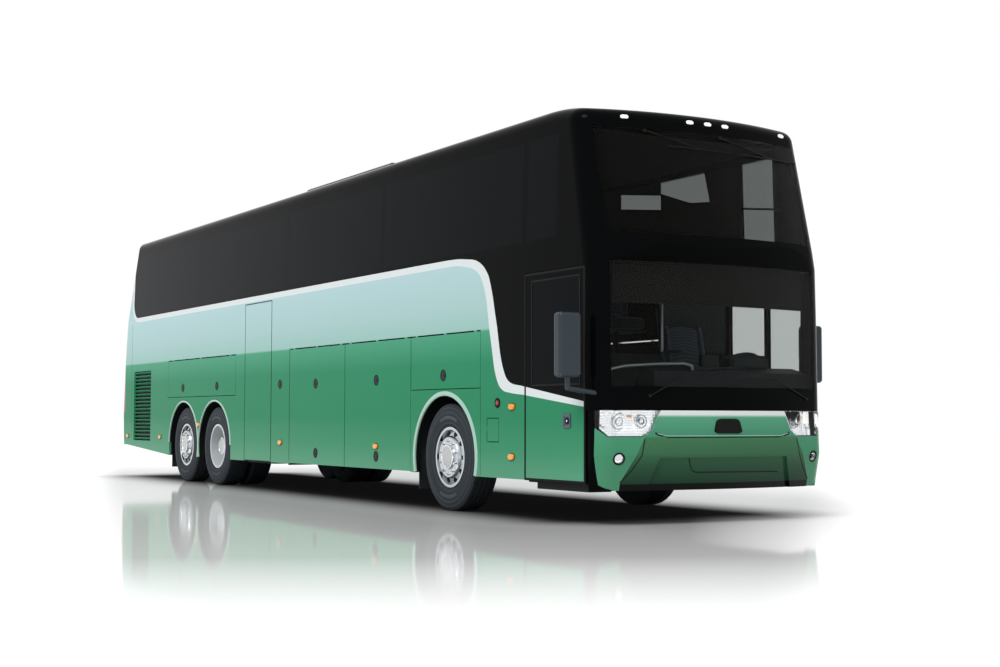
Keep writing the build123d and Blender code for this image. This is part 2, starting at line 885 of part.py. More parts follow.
def front_axle():
    beam = slab(front_axle_x - beam_half, front_axle_x + beam_half, -kingpin_y, kingpin_y,
                beam_low, beam_high)
    for side in (-1, 1):
        y = side * kingpin_y
        beam += upright(front_axle_x, y, beam_low, beam_high, eye_radius)
        beam -= upright(front_axle_x, y, 0, rail_top, kingpin_radius + kingpin_play)
        beam += upright(front_axle_x, side * (rail_inner + rail_outer) / 2, beam_high,
                        rail_bottom, spring_radius)
    return beam


def knuckle():
    y = -kingpin_y
    x0 = front_axle_x - fork_half
    x1 = front_axle_x + fork_half
    top = beam_high + fork_gap
    low = beam_low - fork_gap
    outside = y - web_end
    part = slab(x0, x1, outside, y + fork_half, top, top + fork_plate)
    part += slab(x0, x1, outside, y + fork_half, low - fork_plate, low)
    part += slab(x0, x1, outside, y - web_start, low, top)
    part += upright(front_axle_x, y, low, top, kingpin_radius)
    part += across(front_axle_x, outside, -spindle_end, tyre_radius, spindle_radius)
    return part


def dead_axle(x):
    beam = slab(x - beam_half, x + beam_half, -kingpin_y, kingpin_y, beam_low, beam_high)
    for side in (-1, 1):
        beam += across(x, side * kingpin_y, side * spindle_end, tyre_radius, spindle_radius)
        beam += upright(x, side * (rail_inner + rail_outer) / 2, beam_high, rail_bottom,
                        spring_radius)
    return beam


def drive_axle():
    x = drive_axle_x
    part = across(x, -tube_end, tube_end, tyre_radius, tube_radius)
    part += across(x, -diff_half, diff_half, tyre_radius, diff_radius)
    for side in (-1, 1):
        part += across(x, side * tube_end, side * spindle_end, tyre_radius, spindle_radius)
        part += upright(x, side * (rail_inner + rail_outer) / 2, tyre_radius, rail_bottom,
                        spring_radius)
    return part


# Wheels, drawn at the right side with the outside towards -Y
tyre_seat = 285.0
tyre_fit = 0.2
sidewall_inset = 16.0
shoulder = 40.0
tread_inset = 26.0
rim_half = 130.0
rim_lip = 14.0
rim_sheet = 12.0
disc_thickness = 16.0
hub_radius = 128.0
hub_inner = 40.0
hub_cap_radius = 105.0
dish_front = 92.0
dish_hub = 120.0
dish_ring_share = 0.71
hand_hole_radius = 24.0
hand_hole_circle = 231.0
hand_hole_count = 10
cap_length = 38.0


def around_wheel(points, x, y):
    face = make_face(Polyline(*points, close=True))
    plane = Plane(origin=(x, y, tyre_radius), x_dir=(0, 0, 1), z_dir=(-1, 0, 0))
    return revolve(plane * face, axis=Axis((x, y, tyre_radius), (0, 1, 0)))


def tyre(x, y):
    half = tyre_width / 2
    crown = half - tread_inset
    bead = rim_half - rim_sheet - tyre_fit
    points = [(tyre_seat + tyre_fit, bead), (rim_radius + tyre_fit, bead),
              (rim_radius + rim_lip, half - sidewall_inset),
              (rim_radius + (tyre_radius - rim_radius) / 2, half),
              (tyre_radius - shoulder, half - sidewall_inset / 2), (tyre_radius, crown)]
    points += [(r, -w) for r, w in reversed(points)]
    return around_wheel(points, x, y)


def rim_shell(x, y, disc_y, hub_y):
    half = rim_half
    points = [(tyre_seat, half - rim_sheet), (rim_radius, half - rim_sheet), (rim_radius, half),
              (tyre_seat - rim_sheet, half), (tyre_seat - rim_sheet, -half), (rim_radius, -half),
              (rim_radius, -half + rim_sheet), (tyre_seat, -half + rim_sheet)]
    barrel = around_wheel(points, x, y)
    ring = tyre_seat - rim_sheet
    bend = ring * dish_ring_share
    disc_points = [(ring, disc_y), (bend, hub_y), (0, hub_y), (0, hub_y + disc_thickness),
                   (bend, hub_y + disc_thickness), (ring, disc_y + disc_thickness)]
    disc = around_wheel(disc_points, x, y)
    hole = across(x + hand_hole_circle, y - tyre_width, y + tyre_width, tyre_radius,
                  hand_hole_radius)
    turn = Axis((x, y, tyre_radius), (0, 1, 0))
    for number in range(hand_hole_count):
        disc -= hole.rotate(turn, number * 360 / hand_hole_count)
    return barrel + disc


def steel_hub(x, y, inner, outer):
    hub = across(x, y + inner, y + outer, tyre_radius, hub_radius)
    return hub + across(x, y + outer, y + outer - cap_length, tyre_radius, hub_cap_radius)


def spindle_bore(x, start):
    return across(x, start, -spindle_end - knuckle_gap, tyre_radius, spindle_radius + bearing_play)


def single_wheel(x):
    y = -wheel_y
    rim = rim_shell(x, y, -dish_front, -dish_hub)
    rim += steel_hub(x, y, hub_inner, -dish_hub)
    return tyre(x, y), rim - spindle_bore(x, y + tyre_width)


def twin_wheel(x):
    outer_y = -wheel_y
    inner_y = outer_y + twin_pitch
    middle = twin_pitch / 2
    outer_rim = rim_shell(x, outer_y, dish_front, middle - disc_thickness)
    inner_rim = rim_shell(x, inner_y, -dish_front - disc_thickness, -middle)
    hub = steel_hub(x, outer_y, twin_pitch, dish_hub / 2 - dish_front)
    rims = outer_rim + inner_rim + hub - spindle_bore(x, inner_y + tyre_width)
    return [tyre(x, outer_y), tyre(x, inner_y)], rims


# Seats
seat_row_count = 12
seat_pitch = 840.0
seat_front_x = 4250.0
seat_half_width = 880.0
seat_aisle = 250.0
cushion_length = 470.0
cushion_height = 430.0
cushion_thickness = 130.0
back_height = 1120.0
back_thickness = 110.0
back_lean = 130.0
pedestal = 160.0
stair_clear = 120.0


def seat_profile(x, floor):
    rear = x - cushion_length
    top = floor + cushion_height
    return [(rear + pedestal, floor), (rear + pedestal * 2, floor),
            (rear + pedestal * 2, top - cushion_thickness), (x, top - cushion_thickness),
            (x, top), (rear + back_thickness, top),
            (rear - back_lean + back_thickness, floor + back_height),
            (rear - back_lean, floor + back_height), (rear, top - cushion_thickness),
            (rear + pedestal, top - cushion_thickness)]


def seat_column(side, skip):
    rows = []
    for number in range(seat_row_count):
        x = seat_front_x - seat_pitch * number
        blocked = mid_door_rear - stair_clear < x < mid_door_front + cushion_length + stair_clear
        if skip and blocked:
            continue
        y0 = side * seat_aisle
        y1 = side * (seat_aisle + seat_half_width)
        rows.append(side_prism(seat_profile(x, deck_top), min(y0, y1), max(y0, y1)))
    return rows


# Driver's place
driver_y = 620.0
driver_seat_x = 5950.0
driver_seat_width = 500.0
dash_rear = 6380.0
dash_front = 6690.0
dash_right = -560.0
dash_left = 1180.0
dash_top = 1330.0
dash_slope = 110.0
wheel_ring = 225.0
wheel_bar = 16.0
wheel_x = 6330.0
wheel_height = 1400.0
wheel_tilt = 30.0
column_radius = 28.0


def driver_seat():
    return side_prism(seat_profile(driver_seat_x, platform_top), driver_y - driver_seat_width / 2,
                      driver_y + driver_seat_width / 2)


def dashboard():
    points = [(dash_rear + dash_slope, platform_top), (dash_front, platform_top),
              (dash_front, dash_top), (dash_rear + dash_slope, dash_top + dash_slope / 2),
              (dash_rear, dash_top - dash_slope)]
    return side_prism(points, dash_right, dash_left) & copy.deepcopy(inner_form)


def steering_wheel():
    place = Pos(wheel_x, driver_y, wheel_height) * Rot(0, -wheel_tilt, 0)
    ring = Torus(wheel_ring, wheel_bar)
    spokes = Box(2 * wheel_ring, 3 * wheel_bar, wheel_bar)
    spokes += Box(3 * wheel_bar, 2 * wheel_ring, wheel_bar)
    column = Pos(0, 0, -wheel_ring / 2) * Cylinder(column_radius, wheel_ring)
    return place * (ring + spokes + column) - dashboard()


# Outside fittings
mirror_depth = 120.0
mirror_outer = 1620.0
mirror_inner = 1400.0
mirror_low = 1260.0
mirror_high = 1810.0
mirror_round = 34.0
mirror_bar = 22.0
right_mirror_x = 6760.0
left_mirror_x = 6380.0
mirror_bar_drop = 90.0
mirror_foot_z = 1130.0


def side_mirror(x, side):
    y0 = side * mirror_inner
    y1 = side * mirror_outer
    housing = slab(x - mirror_depth / 2, x + mirror_depth / 2, y0, y1, mirror_low, mirror_high)
    housing = fillet(housing.edges(), mirror_round)
    middle = side * (mirror_inner + mirror_outer) / 2
    knee = (x, middle, mirror_low - mirror_bar_drop)
    bar = rod((x, middle, mirror_low + mirror_bar), knee, mirror_bar)
    bar += Pos(*knee) * Sphere(mirror_bar)
    bar += rod(knee, (x, side * (half_width - wall), mirror_foot_z), mirror_bar)
    return housing + (bar - copy.deepcopy(outer_form))


wiper_lift = 13.0
wiper_bar = 6.0
wiper_post = 14.0
wiper_joint = 11.0
# Columns: pivot y and z, elbow y and z, blade start y and z, blade end y and z, as shares
# of the half width and of the window height
wiper_shares = [
    (-0.620, 0.317, -0.268, 0.385, -0.268, 0.385, 0.127, 0.389),
    (0.780, 0.313, 0.441, 0.363, 0.441, 0.363, -0.110, 0.371),
    (-0.522, 0.985, -0.122, 0.950, -0.354, 0.948, 0.190, 0.946),
    (0.106, 0.985, 0.573, 0.948, 0.266, 0.946, 0.875, 0.946),
]


def glass_point(share_y, share_z):
    y = share_y * half_width
    z = share_z * window_top
    return (nose_x(y, z) + wiper_lift, y, z)


def on_glass(start, end):
    middle_y = (start[0] + end[0]) / 2
    middle_z = (start[1] + end[1]) / 2
    points = [glass_point(*start), glass_point(middle_y, middle_z), glass_point(*end)]
    arc = ThreePointArc(*points)
    return sweep(Plane(arc ^ 0) * Circle(wiper_bar), path=arc)


def wipers():
    parts = []
    for row in wiper_shares:
        pivot, elbow, start, end = row[0:2], row[2:4], row[4:6], row[6:8]
        blade = on_glass(start, end)
        arm = on_glass(pivot, elbow)
        px, py, pz = glass_point(*pivot)
        post = rod((px - wiper_lift - wiper_lift, py, pz), (px + wiper_bar, py, pz), wiper_post)
        joint = Pos(*glass_point(*elbow)) * Sphere(wiper_joint)
        parts.append(blade + arm + joint + post - copy.deepcopy(outer_form))
    return parts


unit_rear = -220.0
unit_front = 2180.0
unit_half = 930.0
unit_top = 3800.0
unit_round = 45.0
fan_radius = 215.0
fan_depth = 42.0
fan_hub_radius = 70.0
fan_bar = 8.0
fan_y = 450.0
fan_place_shares = [0.18, 0.5, 0.82]
hatch_places = [-4150.0, 4350.0]
hatch_half_length = 400.0
hatch_half_width = 350.0
hatch_top = 3765.0
hatch_round = 14.0


def rounded_box(rear, front, half, top, top_round):
    block = slab(rear, front, -half, half, roof_edge_height, top)
    upper = block.faces().sort_by(Axis.Z)[-1]
    return fillet(upper.edges(), top_round) - copy.deepcopy(outer_form)


# Air conditioning on the roof, with a guarded fan in each well
def roof_unit():
    unit = rounded_box(unit_rear, unit_front, unit_half, unit_top, unit_round)
    floor = unit_top - fan_depth
    for share in fan_place_shares:
        x = unit_rear + share * (unit_front - unit_rear)
        for y in (-fan_y, fan_y):
            unit -= upright(x, y, floor, unit_top + cut_over, fan_radius)
            unit += upright(x, y, floor, unit_top - fan_bar, fan_hub_radius)
            for turn in (0, 60, 120):
                bar = Box(2 * fan_radius, fan_bar, fan_bar)
                unit += Pos(x, y, unit_top - fan_bar * 3 / 2) * Rot(0, 0, turn) * bar
    return unit


def roof_hatches():
    return [rounded_box(x - hatch_half_length, x + hatch_half_length, hatch_half_width, hatch_top,
                        hatch_round) for x in hatch_places]


under_step_rear = 5816.0
under_step_front = 6660.0
under_step_inner = -1000.0
under_step_low = 285.0
under_step_high = 340.0


def under_step():
    return slab(under_step_rear, under_step_front, -half_width + wall, under_step_inner,
                under_step_low, under_step_high)


def main():
    os.makedirs("parts", exist_ok=True)
    right_wall, right_flaps = side_wall(True)
    left_wall, left_flaps = side_wall(False)
    save("side_wall_right", right_wall)
    save("side_wall_left", left_of(left_wall))
    for name in hinge_flaps:
        save(name + "_right", right_flaps[name])
        save(name + "_left", left_of(left_flaps[name]))
    save("filler_flap", filler_flap())
    save("louvres", louvre(), left_of(louvre()))
    leaf, glass = front_door()
    save("front_door", leaf)
    save("front_door_glass", glass)
    save("front_door_arm", door_arm(front_shaft_x, front_pin_x, door_sill, front_door_top))
    save("mid_door", door_leaf(mid_door_rear, mid_door_front, skirt_line, mid_door_top, mid_pin_x))
    save("mid_door_arm", door_arm(mid_shaft_x, mid_pin_x, door_sill, mid_door_top))
    frame, panes = upper_side()
    save("window_frame_right", frame)
    save("window_frame_left", left_of(frame))
    save("side_glass_right", *panes)
    driver_glass = [slab(x0, x1, half_width - pane_thickness, half_width, driver_window_bottom,
                         driver_window_top) for x0, x1 in driver_panes()]
    save("side_glass_left", *[left_of(pane) for pane in panes], *driver_glass)
    roof_zone = slab(-half_length, half_length, -half_width, half_width, window_top, tower_height)
    save("roof_shell", shell_in(roof_zone))
    bumper, lamps, panel, fogs = nose_lower()
    save("front_bumper", bumper, panel)
    save("front_lamps", *lamps, *fogs)
    nose_frame, screens = nose_upper()
    save("front_frame", nose_frame)
    save("windscreens", *screens)
    wall_piece, rear_glass, tail_lamps, door = tail_parts()
    save("rear_wall", wall_piece)
    save("rear_window", rear_glass)
    save("rear_lamps", *tail_lamps)
    save("engine_door", door)
    save("deck_floor", deck(), overhead_shelf())
    entrance, middle = stairs()
    save("entrance_steps", entrance, middle, under_step())
    hold, rear_bulkhead = hold_walls()
    save("hold_walls", hold, rear_bulkhead)
    save("wheel_houses", *wheel_houses())
    save("chassis_frame", front_rails(), rear_rails())
    save("engine_block", engine(), radiator(), left_of(radiator()))
    save("front_axle", front_axle())
    save("rear_axles", drive_axle(), dead_axle(tag_axle_x))
    save("knuckle_right", knuckle())
    save("knuckle_left", left_of(knuckle()))
    for name, x in (("front", front_axle_x), ("tag", tag_axle_x)):
        rubber, rim = single_wheel(x)
        save(name + "_tyre_right", rubber)
        save(name + "_tyre_left", left_of(rubber))
        save(name + "_rim_right", rim)
        save(name + "_rim_left", left_of(rim))
    rubbers, rims = twin_wheel(drive_axle_x)
    save("drive_tyres_right", *rubbers)
    save("drive_tyres_left", *[left_of(rubber) for rubber in rubbers])
    save("drive_rims_right", rims)
    save("drive_rims_left", left_of(rims))
    save("seats_right", *seat_column(-1, True))
    save("seats_left", *seat_column(1, False), driver_seat())
    save("dashboard", dashboard())
    save("steering_wheel", steering_wheel())
    save("mirrors", side_mirror(right_mirror_x, -1), side_mirror(left_mirror_x, 1))
    save("wipers", *wipers())
    save("roof_unit", roof_unit(), *roof_hatches())


main()
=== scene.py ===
import bpy
import bmesh
import json
import math
from mathutils import Matrix, Vector
from mathutils.bvhtree import BVHTree


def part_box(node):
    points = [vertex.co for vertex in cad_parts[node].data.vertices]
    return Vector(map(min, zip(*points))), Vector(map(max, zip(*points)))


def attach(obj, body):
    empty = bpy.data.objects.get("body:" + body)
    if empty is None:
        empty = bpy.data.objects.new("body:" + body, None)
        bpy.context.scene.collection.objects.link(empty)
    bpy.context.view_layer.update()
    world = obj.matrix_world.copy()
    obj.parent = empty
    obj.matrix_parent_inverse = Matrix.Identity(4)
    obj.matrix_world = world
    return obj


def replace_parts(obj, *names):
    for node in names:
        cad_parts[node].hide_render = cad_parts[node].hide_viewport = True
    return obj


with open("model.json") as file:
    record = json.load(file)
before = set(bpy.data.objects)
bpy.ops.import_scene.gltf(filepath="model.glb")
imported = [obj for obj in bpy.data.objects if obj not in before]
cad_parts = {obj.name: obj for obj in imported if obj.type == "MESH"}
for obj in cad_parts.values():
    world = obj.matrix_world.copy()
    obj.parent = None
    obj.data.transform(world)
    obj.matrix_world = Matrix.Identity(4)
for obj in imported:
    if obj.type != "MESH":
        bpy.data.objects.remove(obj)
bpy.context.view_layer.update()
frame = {"record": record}

# Places on the bus, in metres, as the frame has them: +X forward, +Y left, +Z up
bus = {
    "halfWidth": 1.275,
    "frontAxleX": 4.18,
    "driveAxleX": -2.52,
    "tagAxleX": -3.82,
    "tyreRadius": 0.53,
    "wheelY": 1.1075,
    "twinPitch": 0.34,
    "deckZ": 1.56,
}
bothSides = ((-1, "right"), (1, "left"))
# rays that look for the bus's skin start this far from its middle
farOut = 9.0


def linear(hexColour):
    channels = [int(hexColour[i:i + 2], 16) / 255 for i in (1, 3, 5)]
    return [c / 12.92 if c <= 0.04045 else ((c + 0.055) / 1.055) ** 2.4 for c in channels] + [1.0]


# ---- camera: at the photograph's place and angle
cameraPlace = {
    "location": (17.570, -8.459, 0.914),
    "yaw": 30.2022515,
    "pitch": 3.18063783,
    "roll": 0.10811325,
    "lens": 55.02,
    "sensor": 36.0,
}


def makeCamera():
    yaw = math.radians(cameraPlace["yaw"])
    pitch = math.radians(cameraPlace["pitch"])
    ahead = Vector((-math.cos(yaw) * math.cos(pitch), math.sin(yaw) * math.cos(pitch),
                    math.sin(pitch)))
    turn = ahead.to_track_quat("-Z", "Y").to_matrix().to_4x4()
    roll = Matrix.Rotation(math.radians(cameraPlace["roll"]), 4, "Z")
    data = bpy.data.cameras.new("photoCamera")
    data.lens = cameraPlace["lens"]
    data.sensor_width = cameraPlace["sensor"]
    data.clip_end = 500
    camera = bpy.data.objects.new("photoCamera", data)
    camera.matrix_world = Matrix.Translation(cameraPlace["location"]) @ turn @ roll
    bpy.context.scene.collection.objects.link(camera)
    bpy.context.scene.camera = camera


# Adds one node with its settings and links: a key is the name or number of an input or a property
# of the node, and a value that is another node's output is linked
def addNode(tree, kind, settings=None):
    node = tree.nodes.new(kind)
    for key, value in (settings or {}).items():
        if isinstance(key, str) and key not in node.inputs:
            setattr(node, key, value)
        elif isinstance(value, bpy.types.NodeSocket):
            tree.links.new(value, node.inputs[key])
        else:
            node.inputs[key].default_value = value
    return node


def newMaterial(name):
    material = bpy.data.materials.new(name)
    material.use_nodes = True
    tree = material.node_tree
    tree.nodes.clear()
    return material, tree


def finishMaterial(tree, settings):
    shader = addNode(tree, "ShaderNodeBsdfPrincipled", settings)
    addNode(tree, "ShaderNodeOutputMaterial", {"Surface": shader.outputs["BSDF"]})


# The place on the object, by axis
def objectAxes(tree):
    place = addNode(tree, "ShaderNodeTexCoord").outputs["Object"]
    return addNode(tree, "ShaderNodeSeparateXYZ", {"Vector": place}).outputs


# How far amounts go over zero, taken together as one distance
def overZero(tree, amounts):
    total = 0.0
    for amount in amounts:
        over = addNode(tree, "ShaderNodeMath",
                       {"operation": "MAXIMUM", 0: amount, 1: 0.0}).outputs[0]
        square = addNode(tree, "ShaderNodeMath", {"operation": "MULTIPLY", 0: over, 1: over})
        total = addNode(tree, "ShaderNodeMath",
                        {"operation": "ADD", 0: total, 1: square.outputs[0]}).outputs[0]
    return addNode(tree, "ShaderNodeMath", {"operation": "SQRT", 0: total}).outputs[0]


# 1 where every test holds, 0 elsewhere; a test is a value, a comparison and its limit
def allHold(tree, tests):
    result = 1.0
    for value, comparison, limit in tests:
        test = addNode(tree, "ShaderNodeMath", {"operation": comparison, 0: value, 1: limit})
        result = addNode(tree, "ShaderNodeMath",
                         {"operation": "MULTIPLY", 0: result, 1: test.outputs[0]}).outputs[0]
    return result


# Grain or ripple: noise whose features are sizeMm wide, as a bump of depthMm
def bumpOf(tree, sizeMm, depthMm, detail=2.0, stretch=(1, 1, 1)):
    place = addNode(tree, "ShaderNodeTexCoord").outputs["Object"]
    scaled = addNode(tree, "ShaderNodeMapping", {"Scale": stretch, "Vector": place})
    noise = addNode(tree, "ShaderNodeTexNoise", {"Scale": 1000 / sizeMm, "Detail": detail,
                                                 "Vector": scaled.outputs["Vector"]})
    bump = addNode(tree, "ShaderNodeBump", {"Distance": depthMm / 1000,
                                            "Height": noise.outputs["Fac"]})
    return bump.outputs["Normal"], noise.outputs["Fac"]


# Sizes in mm that several materials share
orangePeel = {"sizeMm": 9, "depthMm": 0.03}
floatRipple = {"sizeMm": 400, "depthMm": 0.01}
cloudMm = 700
dustMm = 180
# what dust takes from and adds to a roughness, and the shares of it along a metal's tool marks
dustRough = (-0.08, 0.10)
metalRough = (0.7, 1.3)
# a wave texture's bands are this many times narrower than its scale says
waveTurn = 6.3


# ---- livery: gloss black above, a white-silver band, green below
livery = {
    "black": "#050607",
    "band": "#DDE3E4",
    # height of the paint in metres and its green; the paler green over the belt and skirt is painted
    # reflection
    "greensWithPaintedReflection": [(0.36, "#5C9D7E"), (0.62, "#41906B"), (0.90, "#328862"), (1.45, "#338A65"),
               (1.745, "#4FA07F"), (1.765, "#9CC4BC"), (2.00, "#AACBCA"), (2.40, "#B4D2D5")],
    # ramps and curves run from the ground to this height
    "rampTop": 3.0,
    # the band's upper and lower edge: x and z along the side
    "bandTop": [(3.60, 2.486), (4.24, 2.484), (4.55, 2.465), (4.82, 2.414), (4.99, 2.290),
                (5.04, 2.200), (5.154, 1.835), (5.305, 1.344), (5.387, 1.259), (5.64, 1.208),
                (6.668, 1.059), (6.670, 0.0), (7.10, 0.0)],
    "bandFoot": [(3.60, 2.416), (4.16, 2.418), (4.59, 2.383), (4.78, 2.325), (4.894, 2.214),
                 (5.053, 1.654), (5.19, 1.247), (5.273, 1.179), (5.404, 1.152), (5.64, 1.130),
                 (6.668, 1.013), (6.670, 0.0), (7.10, 0.0)],
    # trim colour on the inner faces: nearer the middle than this, between these x, below this z
    "lining": "#24231F",
    "liningY": 1.245,
    "liningX": (-6.45, 6.25),
    "liningZ": 3.40,
    # forward of this the edges run straight
    "straightFrom": 5.6,
    "tailX": -6.13,
    "blackCorner": 0.25,
    "bandCorner": 0.32,
}


# The height of an edge at each x, as a curve through its points
def edgeHeight(tree, x, points):
    low = points[0][0]
    high = points[-1][0]
    along = addNode(tree, "ShaderNodeMapRange", {"From Min": low, "From Max": high, "Value": x})
    curve = addNode(tree, "ShaderNodeFloatCurve", {"Value": along.outputs["Result"]})
    track = curve.mapping.curves[0]
    for number, (px, pz) in enumerate(points):
        place = ((px - low) / (high - low), pz / livery["rampTop"])
        if number == 0:
            track.points[0].location = place
        elif number == len(points) - 1:
            track.points[-1].location = place
        else:
            track.points.new(*place)
    bend = (livery["straightFrom"] - low) / (high - low)
    for point in track.points:
        point.handle_type = "AUTO_CLAMPED" if point.location[0] < bend else "VECTOR"
    curve.mapping.update()
    return addNode(tree, "ShaderNodeMath", {"operation": "MULTIPLY", 0: curve.outputs["Value"],
                                            1: livery["rampTop"]}).outputs[0]


def heightRamp(tree, z, stops):
    height = addNode(tree, "ShaderNodeMapRange", {"From Max": livery["rampTop"], "Value": z})
    ramp = addNode(tree, "ShaderNodeValToRGB", {"Fac": height.outputs["Result"]})
    marks = ramp.color_ramp.elements
    for number, (level, colour) in enumerate(stops):
        share = level / livery["rampTop"]
        mark = marks[number] if number < 2 else marks.new(share)
        mark.position = share
        mark.color = linear(colour)
    return ramp.outputs["Color"]


def liveryColour(tree):
    axes = objectAxes(tree)
    x, y, z = axes["X"], axes["Y"], axes["Z"]
    pastTail = addNode(tree, "ShaderNodeMath", {"operation": "SUBTRACT", 0: livery["tailX"], 1: x})
    layers = []
    for edge, corner, paint in (("bandFoot", "bandCorner", "band"),
                                ("bandTop", "blackCorner", "black")):
        centre = addNode(tree, "ShaderNodeMath", {"operation": "ADD", 1: livery[corner],
                                                  0: edgeHeight(tree, x, livery[edge])})
        below = addNode(tree, "ShaderNodeMath", {"operation": "SUBTRACT",
                                                 0: centre.outputs[0], 1: z})
        reach = overZero(tree, (pastTail.outputs[0], below.outputs[0]))
        layers.append((allHold(tree, [(reach, "LESS_THAN", livery[corner])]), paint))
    across = addNode(tree, "ShaderNodeMath", {"operation": "ABSOLUTE", 0: y})
    rear, front = livery["liningX"]
    lined = allHold(tree, [(across.outputs[0], "LESS_THAN", livery["liningY"]),
                           (x, "GREATER_THAN", rear), (x, "LESS_THAN", front),
                           (z, "LESS_THAN", livery["liningZ"])])
    # the green's changes with height are painted reflection, paler over the belt and at the skirt,
    # darker between
    colour = heightRamp(tree, z, livery["greensWithPaintedReflection"])
    for share, paint in layers + [(lined, "lining")]:
        colour = addNode(tree, "ShaderNodeMix", {"data_type": "RGBA", 0: share, 6: colour,
                                                 7: linear(livery[paint])}).outputs[2]
    return colour


# Sprayed acrylic urethane paint under clear coat: a faint orange peel softens the highlights
def makeLiveryPaint():
    material, tree = newMaterial("sprayedUrethaneLiveryWithPaintedReflection")
    finishMaterial(tree, {"Roughness": 0.07, "Specular IOR Level": 0.024,
                          "Base Color": liveryColour(tree),
                          "Normal": bumpOf(tree, **orangePeel)[0]})
    return material


# the moulded nose: painted shade darkens the middle's green towards the foot, the sides' green on its
# corners, black valance
bumperPaint = {
    "heights": [(0.30, "#060707"), (0.352, "#080A09"), (0.358, "#1D3A2A"), (0.50, "#2A5039"),
                (0.62, "#396849"), (0.752, "#417551"), (0.762, "#478A6B"), (0.936, "#55A080"),
                (0.94, "#D9E1DF"), (0.986, "#E2E8E8")],
    "corner": [(0.30, "#4C8B6B"), (0.62, "#438A68"), (0.95, "#4B9774")],
    # the entrance's front edge: rearward of this the right end of the moulding is black
    "endX": 6.70,
    # half width of the middle as a line through two heights
    "splitLow": (0.372, 1.040),
    "splitHigh": (0.768, 0.835),
}


# The same paint, duller where it is sprayed on the moulded plastic
def makeBumperPaint():
    material, tree = newMaterial("sprayedUrethaneNoseWithPaintedShade")
    axes = objectAxes(tree)
    x, y, z = axes["X"], axes["Y"], axes["Z"]
    (lowZ, lowY), (highZ, highY) = bumperPaint["splitLow"], bumperPaint["splitHigh"]
    split = addNode(tree, "ShaderNodeMapRange", {"From Min": lowZ, "From Max": highZ,
                                                 "To Min": lowY, "To Max": highY, "Value": z})
    across = addNode(tree, "ShaderNodeMath", {"operation": "ABSOLUTE", 0: y})
    outside = allHold(tree, [(across.outputs[0], "GREATER_THAN", split.outputs["Result"])])
    ended = allHold(tree, [(x, "LESS_THAN", bumperPaint["endX"]), (y, "LESS_THAN", 0.0)])
    # painted shade: the middle's green darkens towards the foot
    colour = heightRamp(tree, z, bumperPaint["heights"])
    for share, over in ((outside, heightRamp(tree, z, bumperPaint["corner"])),
                        (ended, linear(livery["black"]))):
        colour = addNode(tree, "ShaderNodeMix", {"data_type": "RGBA", 0: share, 6: colour,
                                                 7: over}).outputs[2]
    finishMaterial(tree, {"Roughness": 0.09, "Specular IOR Level": 0.10, "Base Color": colour,
                          "Normal": bumpOf(tree, **orangePeel)[0]})
    return material


# Plain paint or powder coat: wide clouds in the tone, and the grain of how it was put on
def makePaint(name, colour, shade, roughness=0.08, specular=0.3, grain=orangePeel):
    material, tree = newMaterial(name)
    place = addNode(tree, "ShaderNodeTexCoord").outputs["Object"]
    cloud = addNode(tree, "ShaderNodeTexNoise", {"Scale": 1000 / cloudMm, "Detail": 3.0,
                                                 "Vector": place})
    tone = addNode(tree, "ShaderNodeMix", {"data_type": "RGBA", 0: cloud.outputs["Fac"],
                                           6: linear(colour), 7: linear(shade)})
    finishMaterial(tree, {"Roughness": roughness, "Specular IOR Level": specular,
                          "Base Color": tone.outputs[2], "Normal": bumpOf(tree, **grain)[0]})
    return material


# Vulcanised rubber or moulded plastic: matt, with a fine grain and a little dust in the tone
def makeMoulded(name, colour, shade, roughness, grainMm, grainDepth):
    material, tree = newMaterial(name)
    place = addNode(tree, "ShaderNodeTexCoord").outputs["Object"]
    dust = addNode(tree, "ShaderNodeTexNoise", {"Scale": 1000 / dustMm, "Detail": 5.0,
                                                "Vector": place}).outputs["Fac"]
    tone = addNode(tree, "ShaderNodeMix", {"data_type": "RGBA", 0: dust, 6: linear(colour),
                                           7: linear(shade)})
    rough = addNode(tree, "ShaderNodeMapRange", {"To Min": roughness + dustRough[0],
                                                 "To Max": roughness + dustRough[1],
                                                 "Value": dust})
    finishMaterial(tree, {"Specular IOR Level": 0.2, "Base Color": tone.outputs[2],
                          "Roughness": rough.outputs["Result"],
                          "Normal": bumpOf(tree, grainMm, grainDepth, 3.0)[0]})
    return material


# Machined or cast metal: the tool marks run one way, so the noise is drawn out
def makeMetal(name, colour, shade, roughness, grainMm, grainDepth, stretch=(1, 1, 1)):
    material, tree = newMaterial(name)
    normal, grain = bumpOf(tree, grainMm, grainDepth, 2.0, stretch)
    tone = addNode(tree, "ShaderNodeMix", {"data_type": "RGBA", 0: grain, 6: linear(colour),
                                           7: linear(shade)})
    rough = addNode(tree, "ShaderNodeMapRange", {"To Min": roughness * metalRough[0],
                                                 "To Max": roughness * metalRough[1],
                                                 "Value": grain})
    finishMaterial(tree, {"Metallic": 1.0, "Base Color": tone.outputs[2],
                          "Roughness": rough.outputs["Result"], "Normal": normal})
    return material


# Vacuum-metallised reflector: small flat facets, each turned a little
def makeFacets(name, colour, shade, cell):
    material, tree = newMaterial(name)
    place = addNode(tree, "ShaderNodeTexCoord").outputs["Object"]
    cells = addNode(tree, "ShaderNodeTexVoronoi",
                    {"distance": "CHEBYCHEV", "Scale": 1 / cell, "Randomness": 0.15,
                     "Vector": place}).outputs["Distance"]
    bump = addNode(tree, "ShaderNodeBump", {"Distance": 0.004, "Height": cells})
    tone = addNode(tree, "ShaderNodeMix", {"data_type": "RGBA", 0: cells, 6: linear(colour),
                                           7: linear(shade)})
    finishMaterial(tree, {"Metallic": 0.85, "Roughness": 0.16, "Base Color": tone.outputs[2],
                          "Normal": bump.outputs["Normal"]})
    return material


